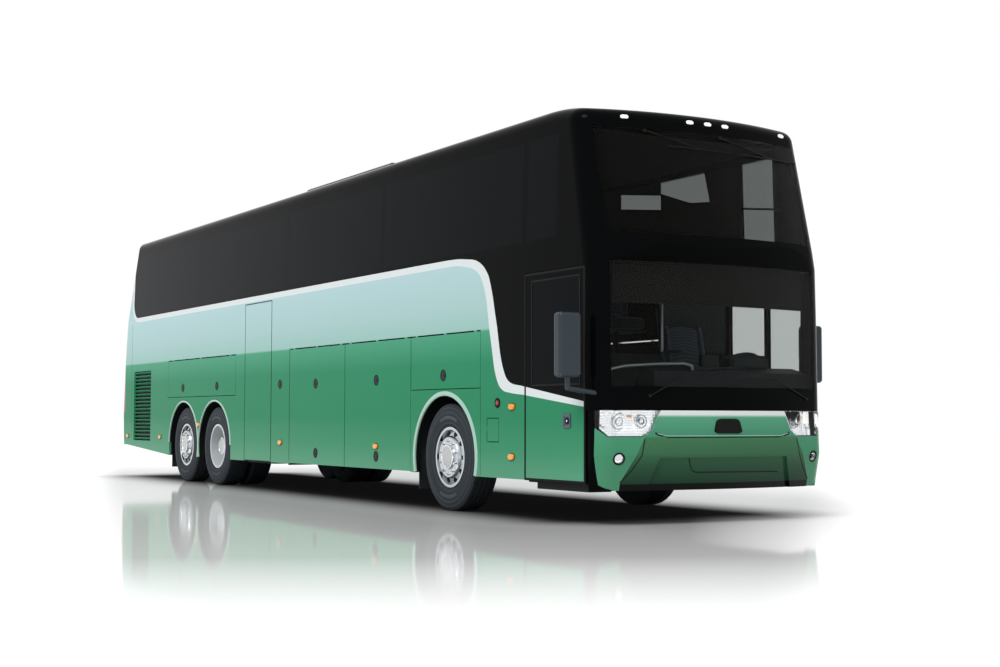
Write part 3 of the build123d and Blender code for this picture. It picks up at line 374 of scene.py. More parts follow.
# Float glass with a body tint and a very slow ripple; the thickness is the CAD pane's own
def makeGlass(name, tint, transmission, specular=0.1, index=1.5, levels=None):
    material, tree = newMaterial(name)
    shade = heightRamp(tree, objectAxes(tree)["Z"], levels) if levels else linear(tint)
    finishMaterial(tree, {"Roughness": 0.01, "IOR": index, "Specular IOR Level": specular,
                          "Transmission Weight": transmission, "Base Color": shade,
                          "Normal": bumpOf(tree, **floatRipple)[0]})
    return material


# Pressed polycarbonate lens with fine upright flutes
def makeLens(name, tint, transmission, fluteMm, glow=0.0, index=1.585):
    material, tree = newMaterial(name)
    place = addNode(tree, "ShaderNodeTexCoord").outputs["Object"]
    flute = addNode(tree, "ShaderNodeTexWave", {"bands_direction": "Y", "Vector": place,
                                                "Scale": 1000 / fluteMm / waveTurn})
    bump = addNode(tree, "ShaderNodeBump", {"Distance": 0.0006, "Height": flute.outputs["Fac"]})
    finishMaterial(tree, {"Roughness": 0.05, "IOR": index, "Transmission Weight": transmission,
                          "Emission Strength": glow, "Emission Color": linear(tint),
                          "Base Color": linear(tint), "Normal": bump.outputs["Normal"]})
    return material


# Woven polyester moquette: warp and weft show as a fine grid with a soft sheen
def makeCloth(name, colour, thread, threadMm):
    material, tree = newMaterial(name)
    place = addNode(tree, "ShaderNodeTexCoord").outputs["Object"]
    warp, weft = (addNode(tree, "ShaderNodeTexWave",
                          {"bands_direction": direction, "Scale": 1000 / threadMm / waveTurn,
                           "Distortion": 0.4, "Vector": place}) for direction in ("X", "Z"))
    weave = addNode(tree, "ShaderNodeMath", {"operation": "MULTIPLY", 0: warp.outputs["Fac"],
                                             1: weft.outputs["Fac"]}).outputs[0]
    bump = addNode(tree, "ShaderNodeBump", {"Distance": 0.0012, "Height": weave})
    tone = addNode(tree, "ShaderNodeMix", {"data_type": "RGBA", 0: weave, 6: linear(colour),
                                           7: linear(thread)})
    finishMaterial(tree, {"Roughness": 0.9, "Sheen Weight": 0.3, "Sheen Roughness": 0.5,
                          "Base Color": tone.outputs[2], "Normal": bump.outputs["Normal"]})
    return material


def makeMaterials():
    found = {
        "livery": makeLiveryPaint(),
        # green urethane on the moulded bumper, darkened towards its foot as painted shade
        "bumperGreen": makeBumperPaint(),
        # black urethane over plastic, deep and wet looking
        "blackGloss": makePaint("sprayedUrethaneBlack", "#060708", "#0A0B0C", 0.09, 0.12),
        # dull print behind the glass between the two windscreens
        "screenPrint": makePaint("enamelScreenPrint", "#020303", "#040505", 0.5, 0.02),
        # paler urethane of the arch lips and the nose panel's edge, a little duller than the sides:
        # partly painted highlight on the lips, painted highlight on the panel's edge
        "paleGreenAndHighlight": makePaint("paleGreenPaintWithPaintedHighlight", "#A9CDBE", "#9CC3B2", 0.2),
        # satin slate urethane of the mirror housings
        "slateGloss": makePaint("sprayedUrethaneSlate", "#2E3A41", "#29343A", 0.2, 0.25),
        # powder-coated steel of the frame: a fine satin pebble
        "frameSteel": makePaint("powderCoatedSteel", "#26292C", "#1D2022", 0.5, 0.5,
                                {"sizeMm": 4, "depthMm": 0.12}),
        # dark toughened glass, black from outside: its dark tint, with painted shade in place of the
        # dim cabin behind
        "sideGlass": makeGlass("darkToughenedGlassWithPaintedShade", "#090D11", 0.0, 0.024),
        # nearly clear laminated glass: the cabin shows, a little dulled
        "screenGlass": makeGlass("laminatedWindscreenGlass", "#C6CCCA", 1.0, 0.12, 1.12),
        # tinted panes that let the daylight in, clearer below the upper deck
        "tintedGlass": makeGlass("tintedToughenedGlass", "#787A79", 1.0, 0.10, 1.15,
                                 ((0.0, "#DADCDB"), (2.25, "#DADCDB"), (2.35, "#787A79"))),
        # dark vulcanised rubber: matt, with grey dust that shows the tread
        "tyre": makeMoulded("vulcanisedRubber", "#23282D", "#2E3439", 0.72, 1.6, 0.12),
        # scuffed rubber of the raised rings on the tyre wall, greyer than the rest
        "scuffedRubber": makeMoulded("scuffedRubber", "#4A525A", "#3B4249", 0.7, 1.6, 0.1),
        # extruded rubber seals: flat black lines that part the panels
        "seal": makeMoulded("extrudedRubberSeal", "#08090A", "#0D0E0F", 0.7, 1.2, 0.05),
        # polished forged aluminium: bright, with turning marks drawn out round the disc
        "alloy": makeMetal("polishedForgedAluminium", "#C3C8CB", "#A3A9AD", 0.2, 3, 0.02,
                           (1, 6, 1)),
        # sprayed silver of the deep outer rims of the twin tyres
        "rimPaint": makePaint("sprayedWheelSilver", "#C9CED0", "#BEC3C6", 0.3, 0.5),
        # brushed aluminium of the hub caps
        "satin": makeMetal("brushedAluminium", "#C8CAC7", "#BABCB9", 0.45, 2, 0.02, (1, 8, 1)),
        # metallised plastic in small cells that glitter behind the lamp covers
        "facets": makeFacets("vacuumMetallisedReflector", "#F4F6F8", "#C9CED3", 0.022),
        # chromed plastic: a sharp bright edge on lamp and hub rings
        "chrome": makeMetal("chromedPlastic", "#F2F4F5", "#E6E9EB", 0.06, 20, 0.01),
        # sand-cast iron of the axles and engine: coarse, dull and grey
        "castIron": makeMetal("sandCastIron", "#4A4D50", "#3A3D40", 0.55, 3, 0.4),
        # zinc-plated steel of nuts, rails and locks: soft grey shine
        "steel": makeMetal("zincPlatedSteel", "#A9ADB0", "#8F9497", 0.3, 4, 0.03),
        # calendered vinyl: a matt grey floor, near black on the steps
        "vinyl": makeMoulded("calenderedVinylFloor", "#5A5F63", "#4C5155", 0.6, 2.5, 0.1),
        "darkVinyl": makeMoulded("calenderedVinylStep", "#141618", "#1A1C1E", 0.7, 2.5, 0.1),
        # grained moulded plastic of the dashboard, dark and pale
        "trim": makeMoulded("grainedAbsTrim", "#2B2E31", "#232629", 0.55, 1.5, 0.12),
        "paleTrim": makeMoulded("grainedAbsPaleTrim", "#A7A9A6", "#9C9E9B", 0.6, 1.5, 0.1),
        # woven seat cloth: slate with a paler thread
        "cloth": makeCloth("wovenPolyesterMoquette", "#39434D", "#5C6973", 3.0),
        # moulded plastic seat backs, satin grey
        "shell": makeMoulded("injectionMouldedShell", "#5B6166", "#53585D", 0.5, 1.5, 0.08),
        # dark knitted polyester of blind, curtains and headliner: no shine
        "blind": makeMoulded("knittedBlindCloth", "#1C1B18", "#23221F", 0.85, 1.2, 0.05),
        # blue-grey painted handle plate
        "slatePaint": makePaint("powderCoatedSlate", "#4A5A64", "#42515A", 0.35, 0.3,
                                {"sizeMm": 3, "depthMm": 0.05}),
        # silvered mirror glass
        "mirrorGlass": makeMetal("silveredMirrorGlass", "#EEF1F3", "#E8ECEE", 0.02, 300, 0.002),
        # polycarbonate lenses: clear over the lamps, amber, red and milky on the markers
        "clearLens": makeLens("pressedPolycarbonateClear", "#FFFFFF", 1.0, 40, 0.0, 1.2),
        "amberLens": makeLens("pressedPolycarbonateAmber", "#F09A00", 0.1, 6, 0.12),
        "redLens": makeLens("pressedPolycarbonateRed", "#9E1216", 0.3, 8, 0.05),
        "whiteLens": makeLens("pressedPolycarbonateOpal", "#F1F4F5", 0.2, 6, 0.5),
    }
    print("materials:", len(found))
    return found


# What each CAD node is finished in; keys are the starts of node names
nodeFinish = {
    "side_wall": "livery", "hold_door": "livery", "wheel_flap": "livery", "rear_flap": "livery",
    "filler_flap": "livery", "front_door": "livery", "mid_door": "livery", "rear_wall": "livery",
    "engine_door": "livery", "front_frame": "livery", "window_frame": "livery",
    "roof_shell": "livery", "front_bumper": "bumperGreen", "roof_unit": "blackGloss",
    "mirrors": "slateGloss", "wipers": "seal", "side_glass": "sideGlass",
    "side_glass_left": "tintedGlass",
    "front_door_glass": "sideGlass", "rear_window": "sideGlass", "windscreens": "screenGlass",
    "front_lamps": "clearLens", "rear_lamps": "redLens", "louvres": "livery",
    "front_door_arm": "frameSteel", "mid_door_arm": "frameSteel", "chassis_frame": "frameSteel",
    "front_axle": "castIron", "rear_axles": "castIron", "knuckle": "castIron",
    "engine_block": "castIron", "wheel_houses": "trim", "hold_walls": "vinyl",
    "deck_floor": "vinyl", "entrance_steps": "darkVinyl", "dashboard": "trim",
    "steering_wheel": "trim", "seats": "cloth",
}


def dressNodes(materials):
    for entry in frame["record"]["subparts"]:
        name = entry["node"]
        starts = [start for start in nodeFinish if name.startswith(start)]
        if "tyre" in name:
            finish = "tyre"
        elif "rim" in name:
            finish = "rimPaint" if name.startswith("drive") else "alloy"
        else:
            finish = nodeFinish[max(starts, key=len)]
        node = bpy.data.objects[name]
        node.data.materials.clear()
        node.data.materials.append(materials[finish])
    print("nodes dressed")


# ---- studio: pale floor that mirrors the bus a little, white all round, soft light
studio = {
    "floorHalf": 400.0,
    "floorColour": "#F4F4F4",
    "mirrorShare": 0.62,
    # the mirror fades along this direction between these distances from the origin
    "fadeAlong": (0.89, -0.45, 0.0),
    "fadeFrom": 9.3,
    "fadeTo": 12.2,
    "farShare": 0.10,
    # painted light added on the floor, none under the bus, whole from this distance on
    "floorLift": 0.30,
    "leastLift": 0.0045,
    "liftFrom": 0.1,
    "liftTo": 8.5,
    # more painted light beyond two lines on the floor: their normals, offset, ramp from and to
    "sideLift": 0.30,
    "sideLines": (((-0.279, -0.961, 0.0), -3.227, -0.15, 0.45),
                  ((0.679, 0.734, 0.0), -5.721, -0.5, 0.3)),
    # painted shadow: under the bus the floor is nearly black, and it is whole from this distance on
    "shadeShare": 0.02,
    "shadeTo": 1.35,
    "shadeHalf": (5.9, 0.95),
    "mirrorRoughness": 0.06,
    # x from and to, y, top, and the height of its foot over the floor
    "card": (-7.0, 6.95, 1.15, 0.60),
    "cardFoot": 0.002,
    # the card thins out between these x
    "cardFade": (4.9, 6.9),
    "cardColour": "#4A4A4A",
    "skyStrength": 0.62,
    "sunStrength": 1.5,
    "sunAngle": 24.0,
    "sunFrom": (0.35, -0.62, 0.70),
}


def addStaged(name, corners):
    mesh = bpy.data.meshes.new(name)
    mesh.from_pydata(corners, [], [(0, 1, 2, 3)])
    panel = bpy.data.objects.new(name, mesh)
    bpy.context.scene.collection.objects.link(panel)
    return panel


# 1 for what the camera, mirrors and clear glass see, 0 for light that falls on things
def seenRays(tree):
    path = addNode(tree, "ShaderNodeLightPath").outputs
    bent = addNode(tree, "ShaderNodeMath", {"operation": "MAXIMUM", 0: path["Is Glossy Ray"],
                                            1: path["Is Transmission Ray"]})
    return addNode(tree, "ShaderNodeMath", {"operation": "MAXIMUM", 0: path["Is Camera Ray"],
                                            1: bent.outputs[0]}).outputs[0]


def makeFloor():
    reach = studio["floorHalf"]
    floor = addStaged("studioFloor", [(-reach, -reach, 0), (reach, -reach, 0), (reach, reach, 0),
                                      (-reach, reach, 0)])
    material, tree = newMaterial("paleFloorWithPaintedShadowAndLight")
    place = addNode(tree, "ShaderNodeTexCoord").outputs["Object"]
    axes = addNode(tree, "ShaderNodeSeparateXYZ", {"Vector": place}).outputs
    aside = []
    for axis, half in zip("XY", studio["shadeHalf"]):
        size = addNode(tree, "ShaderNodeMath", {"operation": "ABSOLUTE", 0: axes[axis]})
        aside.append(addNode(tree, "ShaderNodeMath", {"operation": "SUBTRACT", 0: size.outputs[0],
                                                      1: half}).outputs[0])
    away = overZero(tree, aside)
    # painted shadow: the floor's colour and its mirror fade to black under the bus
    clear = addNode(tree, "ShaderNodeMapRange",
                    {"interpolation_type": "SMOOTHSTEP", "From Max": studio["shadeTo"],
                     "To Min": studio["shadeShare"], "Value": away}).outputs["Result"]
    shade = addNode(tree, "ShaderNodeMix", {"data_type": "RGBA", 0: clear, 6: (0, 0, 0, 1),
                                            7: linear(studio["floorColour"])})
    matt = addNode(tree, "ShaderNodeBsdfDiffuse", {"Color": shade.outputs[2]})
    along = addNode(tree, "ShaderNodeVectorMath", {"operation": "DOT_PRODUCT", 0: place,
                                                   1: studio["fadeAlong"]})
    share = addNode(tree, "ShaderNodeMapRange",
                    {"From Min": studio["fadeFrom"], "From Max": studio["fadeTo"],
                     "To Min": studio["mirrorShare"], "To Max": studio["farShare"],
                     "Value": along.outputs["Value"]})
    reflected = addNode(tree, "ShaderNodeMath", {"operation": "MULTIPLY",
                                                 0: share.outputs["Result"], 1: clear})
    mirror = addNode(tree, "ShaderNodeBsdfGlossy", {"distribution": "MULTI_GGX",
                                                    "Roughness": studio["mirrorRoughness"]})
    mix = addNode(tree, "ShaderNodeMixShader", {0: reflected.outputs[0], 1: matt.outputs[0],
                                                2: mirror.outputs[0]})
    # painted light: a glow that seen rays meet, least under the bus, more beyond the two lines
    raised = addNode(tree, "ShaderNodeMapRange",
                     {"interpolation_type": "SMOOTHSTEP", "From Min": studio["liftFrom"],
                      "From Max": studio["liftTo"], "To Min": studio["leastLift"],
                      "To Max": studio["floorLift"], "Value": away}).outputs["Result"]
    for normal, offset, low, high in studio["sideLines"]:
        line = addNode(tree, "ShaderNodeVectorMath", {"operation": "DOT_PRODUCT", 0: place,
                                                      1: normal})
        past = addNode(tree, "ShaderNodeMath", {"operation": "ADD", 0: line.outputs["Value"],
                                                1: offset})
        ramp = addNode(tree, "ShaderNodeMapRange",
                       {"interpolation_type": "SMOOTHSTEP", "From Min": low, "From Max": high,
                        "To Max": studio["sideLift"], "Value": past.outputs[0]})
        raised = addNode(tree, "ShaderNodeMath", {"operation": "ADD", 0: raised,
                                                  1: ramp.outputs["Result"]}).outputs[0]
    strength = addNode(tree, "ShaderNodeMath", {"operation": "MULTIPLY", 0: seenRays(tree),
                                                1: raised})
    lift = addNode(tree, "ShaderNodeEmission", {"Strength": strength.outputs[0]})
    total = addNode(tree, "ShaderNodeAddShader", {0: mix.outputs[0], 1: lift.outputs[0]})
    addNode(tree, "ShaderNodeOutputMaterial", {"Surface": total.outputs[0]})
    floor.data.materials.append(material)


# A dark card seen in the floor's mirror only, under the far side: painted shade, no white shines
# through
def makeCard():
    rear, front, y, top = studio["card"]
    foot = studio["cardFoot"]
    card = addStaged("studioCard", [(rear, y, foot), (front, y, foot), (front, y, top),
                                    (rear, y, top)])
    card.visible_camera = card.visible_diffuse = card.visible_shadow = False
    material, tree = newMaterial("paintedShadeCard")
    thinFrom, thinTo = studio["cardFade"]
    thin = addNode(tree, "ShaderNodeMapRange", {"From Min": thinFrom, "From Max": thinTo,
                                                "Value": objectAxes(tree)["X"]})
    matt = addNode(tree, "ShaderNodeBsdfDiffuse", {"Color": linear(studio["cardColour"])})
    clear = addNode(tree, "ShaderNodeBsdfTransparent")
    mix = addNode(tree, "ShaderNodeMixShader", {0: thin.outputs["Result"], 1: matt.outputs[0],
                                                2: clear.outputs[0]})
    addNode(tree, "ShaderNodeOutputMaterial", {"Surface": mix.outputs[0]})
    card.data.materials.append(material)


def makeLight():
    world = bpy.data.worlds.new("studioWorld")
    world.use_nodes = True
    tree = world.node_tree
    tree.nodes.clear()
    light, white = (addNode(tree, "ShaderNodeBackground",
                            {"Color": (1, 1, 1, 1), "Strength": strength})
                    for strength in (studio["skyStrength"], 1.0))
    mix = addNode(tree, "ShaderNodeMixShader", {0: seenRays(tree), 1: light.outputs[0],
                                                2: white.outputs[0]})
    addNode(tree, "ShaderNodeOutputWorld", {"Surface": mix.outputs[0]})
    bpy.context.scene.world = world

    data = bpy.data.lights.new("softSun", "SUN")
    data.energy = studio["sunStrength"]
    data.angle = math.radians(studio["sunAngle"])
    sun = bpy.data.objects.new("softSun", data)
    toLight = Vector(studio["sunFrom"]).normalized()
    sun.rotation_euler = toLight.to_track_quat("Z", "Y").to_euler()
    bpy.context.scene.collection.objects.link(sun)
    bpy.context.scene.view_settings.view_transform = "Standard"
    print("studio ready")


# ---- small makers for meshes
def newShape():
    return bmesh.new()


def addFace(shape, corners):
    if len(set(corners)) == len(corners) and shape.faces.get(corners) is None:
        shape.faces.new(corners)


# A ring of points turned round an axis: profile rows are (along the axis, radius)
def addLathe(shape, place, profile, segments, start=0.0, turn=360.0):
    whole = abs(turn - 360.0) < 0.01
    count = segments if whole else segments + 1
    rings = []
    for number in range(count):
        angle = math.radians(start + turn * number / segments)
        ring = [shape.verts.new(place @ Vector((radius * math.cos(angle),
                                                radius * math.sin(angle), along)))
                for along, radius in profile]
        rings.append(ring)
    for number in range(segments):
        ring, after = rings[number], rings[(number + 1) % count]
        for row in range(len(profile) - 1):
            addFace(shape, (ring[row], after[row], after[row + 1], ring[row + 1]))
    return shape


# A flat outline given thickness; place maps (across, up, out) to the bus
def addPlate(shape, place, outline, low, high, bevel=0.0):
    part = bmesh.new()
    foot = [part.verts.new(Vector((u, v, low))) for u, v in outline]
    head = [part.verts.new(Vector((u, v, high))) for u, v in outline]
    part.faces.new(list(reversed(foot)))
    part.faces.new(head)
    for number in range(len(outline)):
        after = (number + 1) % len(outline)
        part.faces.new((foot[number], foot[after], head[after], head[number]))
    if bevel:
        edges = [edge for edge in part.edges if edge.verts[0] in head and edge.verts[1] in head]
        bmesh.ops.bevel(part, geom=edges, offset=bevel, segments=3, affect="EDGES")
    takeIn(shape, part, place)


def takeIn(shape, part, place):
    bmesh.ops.transform(part, matrix=place, verts=part.verts)
    holder = bpy.data.meshes.new("holder")
    part.to_mesh(holder)
    part.free()
    shape.from_mesh(holder)
    bpy.data.meshes.remove(holder)


def addBox(shape, place, size, bevel=0.0):
    part = bmesh.new()
    bmesh.ops.create_cube(part, size=1.0)
    bmesh.ops.scale(part, vec=size, verts=part.verts)
    if bevel:
        bmesh.ops.bevel(part, geom=part.edges, offset=bevel, segments=3, affect="EDGES")
    takeIn(shape, part, place)


def addBlock(shape, low, high, bevel=0.0):
    middle = (Vector(low) + Vector(high)) / 2
    addBox(shape, Matrix.Translation(middle), Vector(high) - Vector(low), bevel)


# Faces between rings of points; each ring closes on itself
def joinRings(shape, rings, ends=True):
    for ring, after in zip(rings, rings[1:]):
        for step in range(len(ring)):
            other = (step + 1) % len(ring)
            addFace(shape, (ring[step], ring[other], after[other], after[step]))
    if ends:
        addFace(shape, tuple(reversed(rings[0])))
        addFace(shape, tuple(rings[-1]))


# A round bar along a line of points
def addBar(shape, points, radius, segments=10):
    line = [Vector(point) for point in points]
    turns = [2 * math.pi * step / segments for step in range(segments)]
    rings = []
    for number, point in enumerate(line):
        ahead = line[min(number + 1, len(line) - 1)] - line[max(number - 1, 0)]
        place = Matrix.Translation(point) @ ahead.to_track_quat("Z", "Y").to_matrix().to_4x4()
        rings.append([shape.verts.new(place @ Vector((radius * math.cos(turn),
                                                      radius * math.sin(turn), 0)))
                      for turn in turns])
    joinRings(shape, rings)


def roundedOutline(halfWide, halfHigh, corner, steps=5):
    points = []
    for quarter, (su, sv) in enumerate(((1, 1), (-1, 1), (-1, -1), (1, -1))):
        for step in range(steps + 1):
            angle = math.radians(90 * quarter + 90 * step / steps)
            points.append((su * (halfWide - corner) + corner * math.cos(angle),
                           sv * (halfHigh - corner) + corner * math.sin(angle)))
    return points


def makePiece(name, shape, finish, body="coach_body", sharp=35):
    bmesh.ops.remove_doubles(shape, verts=shape.verts, dist=0.00001)
    bmesh.ops.recalc_face_normals(shape, faces=shape.faces)
    mesh = bpy.data.meshes.new(name)
    shape.to_mesh(mesh)
    shape.free()
    mesh.materials.append(finishes[finish])
    mesh.shade_smooth()
    mesh.set_sharp_from_angle(angle=math.radians(sharp))
    piece = bpy.data.objects.new(name, mesh)
    bpy.context.scene.collection.objects.link(piece)
    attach(piece, body)
    return piece


# ---- places: on a side wall, on the curved nose or tail, and on a wheel's outer face
def onSide(x, z, side, out=0.0):
    return Matrix(((-side, 0, 0, x), (0, 0, side, side * (bus["halfWidth"] + out)),
                   (0, 1, 0, z), (0, 0, 0, 1)))


def surfaceOf(*names):
    corners = []
    faces = []
    for name in names:
        mesh = bpy.data.objects[name].data
        start = len(corners)
        corners += [vertex.co.copy() for vertex in mesh.vertices]
        faces += [[start + index for index in face.vertices] for face in mesh.polygons]
    return BVHTree.FromPolygons(corners, faces)


def onSkin(surface, start, towards):
    hit, normal = surface.ray_cast(Vector(start), Vector(towards))[:2]
    if hit is None:
        return None
    if normal.dot(Vector(towards)) > 0:
        normal = -normal
    across = Vector((0, 0, 1)).cross(normal).normalized()
    up = normal.cross(across)
    place = Matrix((across, up, normal)).transposed().to_4x4()
    place.translation = hit
    return place


def onWheel(x, side, out):
    return onSide(x, bus["tyreRadius"], side) @ Matrix.Translation((0, 0, out - bus["halfWidth"]))


# ---- tyres: 295/80 R22.5 size, four grooves round the tread and cut shoulders
tyreShape = {
    "pitches": 52,
    "pitchShares": (0.0, 0.05, 0.20, 0.25, 0.62),
    "cutShares": (0.05, 0.20),
    "grooves": ((-0.078, 0.0045), (-0.027, 0.0055), (0.027, 0.0055), (0.078, 0.0045)),
    "grooveDepth": 0.011,
    "cutDepth": 0.009,
    # from here outwards the shoulder is cut, down to the tread's edge
    "shoulder": 0.094,
    "edge": 0.118,
    # share of a groove's half width that is its floor
    "floorShare": 0.8,
    # the tread lies this much inside the CAD tyre
    "inset": 0.0005,
    # half of the wall's profile: from the middle plane outwards, and radius
    "wall": ((0.1096, 0.2856), (0.1096, 0.2998), (0.1240, 0.3080), (0.1300, 0.3160),
             (0.1385, 0.3300), (0.1400, 0.3360), (0.1390, 0.3400), (0.1445, 0.3650),
             (0.1470, 0.4000), (0.1474, 0.4150), (0.1455, 0.4450), (0.1450, 0.4560),
             (0.1425, 0.4580), (0.1405, 0.4800), (0.1385, 0.4980), (0.1310, 0.5160),
             (0.1215, 0.5280)),
}


def treadRow(across, cut):
    depth = 0.0
    tolerance = 0.0001
    for middle, half in tyreShape["grooves"]:
        if abs(across - middle) <= half * tyreShape["floorShare"] + tolerance:
            depth = tyreShape["grooveDepth"]
    if cut and abs(across) > tyreShape["shoulder"]:
        depth = tyreShape["cutDepth"]
    return bus["tyreRadius"] - tyreShape["inset"] - depth


def tyreProfile(cut):
    shoulder, edge = tyreShape["shoulder"], tyreShape["edge"]
    marks = [0.0]
    for side in (-1, 1):
        marks += [side * edge, side * (shoulder + 0.0005), side * (shoulder - 0.0005)]
    for middle, half in tyreShape["grooves"]:
        floor = half * tyreShape["floorShare"]
        marks += [middle - half, middle - floor, middle + floor, middle + half]
    outer = [(-along, radius) for along, radius in tyreShape["wall"]]
    tread = [(across, treadRow(across, cut)) for across in sorted(marks)]
    inner = [(along, radius) for along, radius in reversed(tyreShape["wall"])]
    return outer + tread + inner


def addTyre(shape, x, y):
    place = Matrix.Translation((x, y, bus["tyreRadius"])) @ Matrix.Rotation(math.pi / 2, 4, "X")
    plain, cut = tyreProfile(False), tyreProfile(True)
    rings = []
    for pitch in range(tyreShape["pitches"]):
        for share in tyreShape["pitchShares"]:
            angle = 2 * math.pi * (pitch + share) / tyreShape["pitches"]
            profile = cut if share in tyreShape["cutShares"] else plain
            rings.append([shape.verts.new(place @ Vector((radius * math.cos(angle),
                                                          radius * math.sin(angle), along)))
                          for along, radius in profile])
    joinRings(shape, rings + rings[:1], False)


def makeTyres():
    wheelY, pitch = bus["wheelY"], bus["twinPitch"]
    for side, word in bothSides:
        for axle, x, places in (("front", bus["frontAxleX"], (0,)),
                                ("tag", bus["tagAxleX"], (0,)),
                                ("drive", bus["driveAxleX"], (0, pitch))):
            shape = newShape()
            for inset in places:
                addTyre(shape, x, side * (wheelY - inset))
            piece = makePiece(axle + "Tread_" + word, shape, "tyre", axle + "_wheel_" + word, 28)
            node = axle + ("_tyres_" if axle == "drive" else "_tyre_") + word
            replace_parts(piece, node)


# ---- wheel nuts, hub caps and valves on the polished wheels
wheelTrim = {
    "nutCount": 10,
    "nutCircle": 0.163,
    "nutHalf": 0.0135,
    "nutHeight": 0.020,
    "capRadius": 0.105,
    # dark discs for the disc's hand holes, painted shade of their insides: circle, place along the
    # axle, radius, lean of the disc
    "holes": (0.243, 0.1085, 0.026, 0.325),
    "flangeRadius": 0.203,
    "flangeHeight": 0.026,
    # along the axle and radius of the raised rings on the tyre's wall
    "wallRings": ((0.1394, 0.3380), (0.1458, 0.4380), (0.1440, 0.4530), (0.1397, 0.4880)),
    # first angle of the two bars on the tyre's wall
    "wallBars": (64, 244),
    "valve": ((0.262, 0, 0.070), (0.258, 0, 0.100), (0.250, 0, 0.122)),
    # axle: how far from the wheel's middle plane the disc's face and the cap's face are
    "faces": {"front": (0.120, 0.158), "tag": (0.120, 0.158), "drive": (-0.154, 0.070)},
}


def makeWheelTrim():
    count = wheelTrim["nutCount"]
    edge, height = wheelTrim["flangeRadius"], wheelTrim["flangeHeight"]
    half, tall = wheelTrim["nutHalf"], wheelTrim["nutHeight"]
    circle, along, hole, lean = wheelTrim["holes"]
    radius = wheelTrim["capRadius"]
    for side, word in bothSides:
        for axle, (disc, cap) in wheelTrim["faces"].items():
            body = axle + "_wheel_" + word
            middle = onWheel(bus[axle + "AxleX"], side, bus["wheelY"])
            place = middle @ Matrix.Translation((0, 0, disc))
            # the hub's flange stands proud of the disc and carries the nuts
            shape = newShape()
            addLathe(shape, place, [(-0.004, edge * 1.04), (height * 0.7, edge),
                                    (height, edge * 0.97), (height, edge * 0.60),
                                    (height + 0.004, edge * 0.58),
                                    (height + 0.004, edge * 0.50)], 64)
            makePiece(axle + "HubFlange_" + word, shape, "alloy", body, 30)
            # a dark disc behind each hand hole, where the rim's disc faces outwards: painted shade
            # for the hole's dark inside
            if axle != "drive":
                shape = newShape()
                for number in range(count):
                    turn = Matrix.Rotation(2 * math.pi * number / count, 4, "Z")
                    at = turn @ Matrix.Translation((circle, 0, along)) \
                        @ Matrix.Rotation(lean, 4, "Y")
                    addLathe(shape, middle @ at, [(-0.004, hole), (0.001, hole), (0.0, hole * 0.9),
                                                  (-0.001, 0)], 20)
                makePiece(axle + "HandHoles_" + word, shape, "seal", body, 30)
            # nuts on washers, and a small rivet between each two
            shape = newShape()
            for number in range(count):
                angle = 2 * math.pi * (number + 0.5) / count
                at = Matrix.Translation((wheelTrim["nutCircle"] * math.cos(angle),
                                         wheelTrim["nutCircle"] * math.sin(angle), height))
                addLathe(shape, place @ at, [(-0.004, 0), (-0.004, half * 1.3), (0.003, half * 1.3),
                                             (0.004, half), (tall * 0.8, half), (tall, half * 0.6),
                                             (tall, 0)], 6)
                midway = at @ Matrix.Rotation(math.pi / count, 4, "Z")
                addLathe(shape, place @ midway, [(-0.002, 0.004), (0.001, 0.004), (0.001, 0)], 8)
            makePiece(axle + "WheelNuts_" + word, shape, "steel", body, 30)
            place = middle @ Matrix.Translation((0, 0, cap))
            for name, finish, profile, segments in (
                    ("CapRing_", "chrome", [(-0.020, radius * 1.14), (0.004, radius * 1.12),
                                            (0.006, radius * 1.02), (0.002, radius)], 64),
                    ("HubCap_", "satin", [(0.002, radius * 1.01), (0.004, radius * 0.9),
                                          (0.005, radius * 0.3), (0.005, 0)], 48)):
                shape = newShape()
                addLathe(shape, place, profile, segments)
                makePiece(axle + name + word, shape, finish, body, 30)
            shape = newShape()
            addBar(shape, [middle @ Vector(point) for point in wheelTrim["valve"]], 0.005, 8)
            makePiece(axle + "Valve_" + word, shape, "steel", body)
            # raised, scuffed rings and bars on the tyre's wall
            shape = newShape()
            for out, ring in wheelTrim["wallRings"]:
                addLathe(shape, middle, [(out - 0.001, ring - 0.004), (out + 0.0014, ring - 0.002),
                                         (out + 0.0014, ring + 0.002),
                                         (out - 0.001, ring + 0.004)], 96)
            for start in wheelTrim["wallBars"]:
                addLathe(shape, middle, [(0.1462, 0.375), (0.1490, 0.378), (0.1492, 0.405),
                                         (0.1468, 0.409)], 24, start, 52)
            makePiece(axle + "TyreWallRings_" + word, shape, "scuffedRubber", body)


# ---- painted lips round the wheel arches, with a black liner inside each
archLip = {
    "shift": -0.045,
    "height": 0.533,
    "inner": 0.630,
    "outer": 0.678,
    # the lip is a little flatter than a circle
    "flatShare": 0.96,
    "proud": 0.012,
    # a steered front wheel needs the room that a deep liner would take
    "liner": {"front": (-0.030, -0.004), "drive": (-0.300, -0.004), "tag": (-0.300, -0.004)},
    "linerRadius": 0.635,
    # first angle and turn on the right side, from straight ahead over the top
    "sweeps": {"front": (-15.5, 211.0), "drive": (-15.5, 193.5), "tag": (2.0, 193.5)},
    # the lips over the rear axles are slimmer
    "slim": 0.658,
}


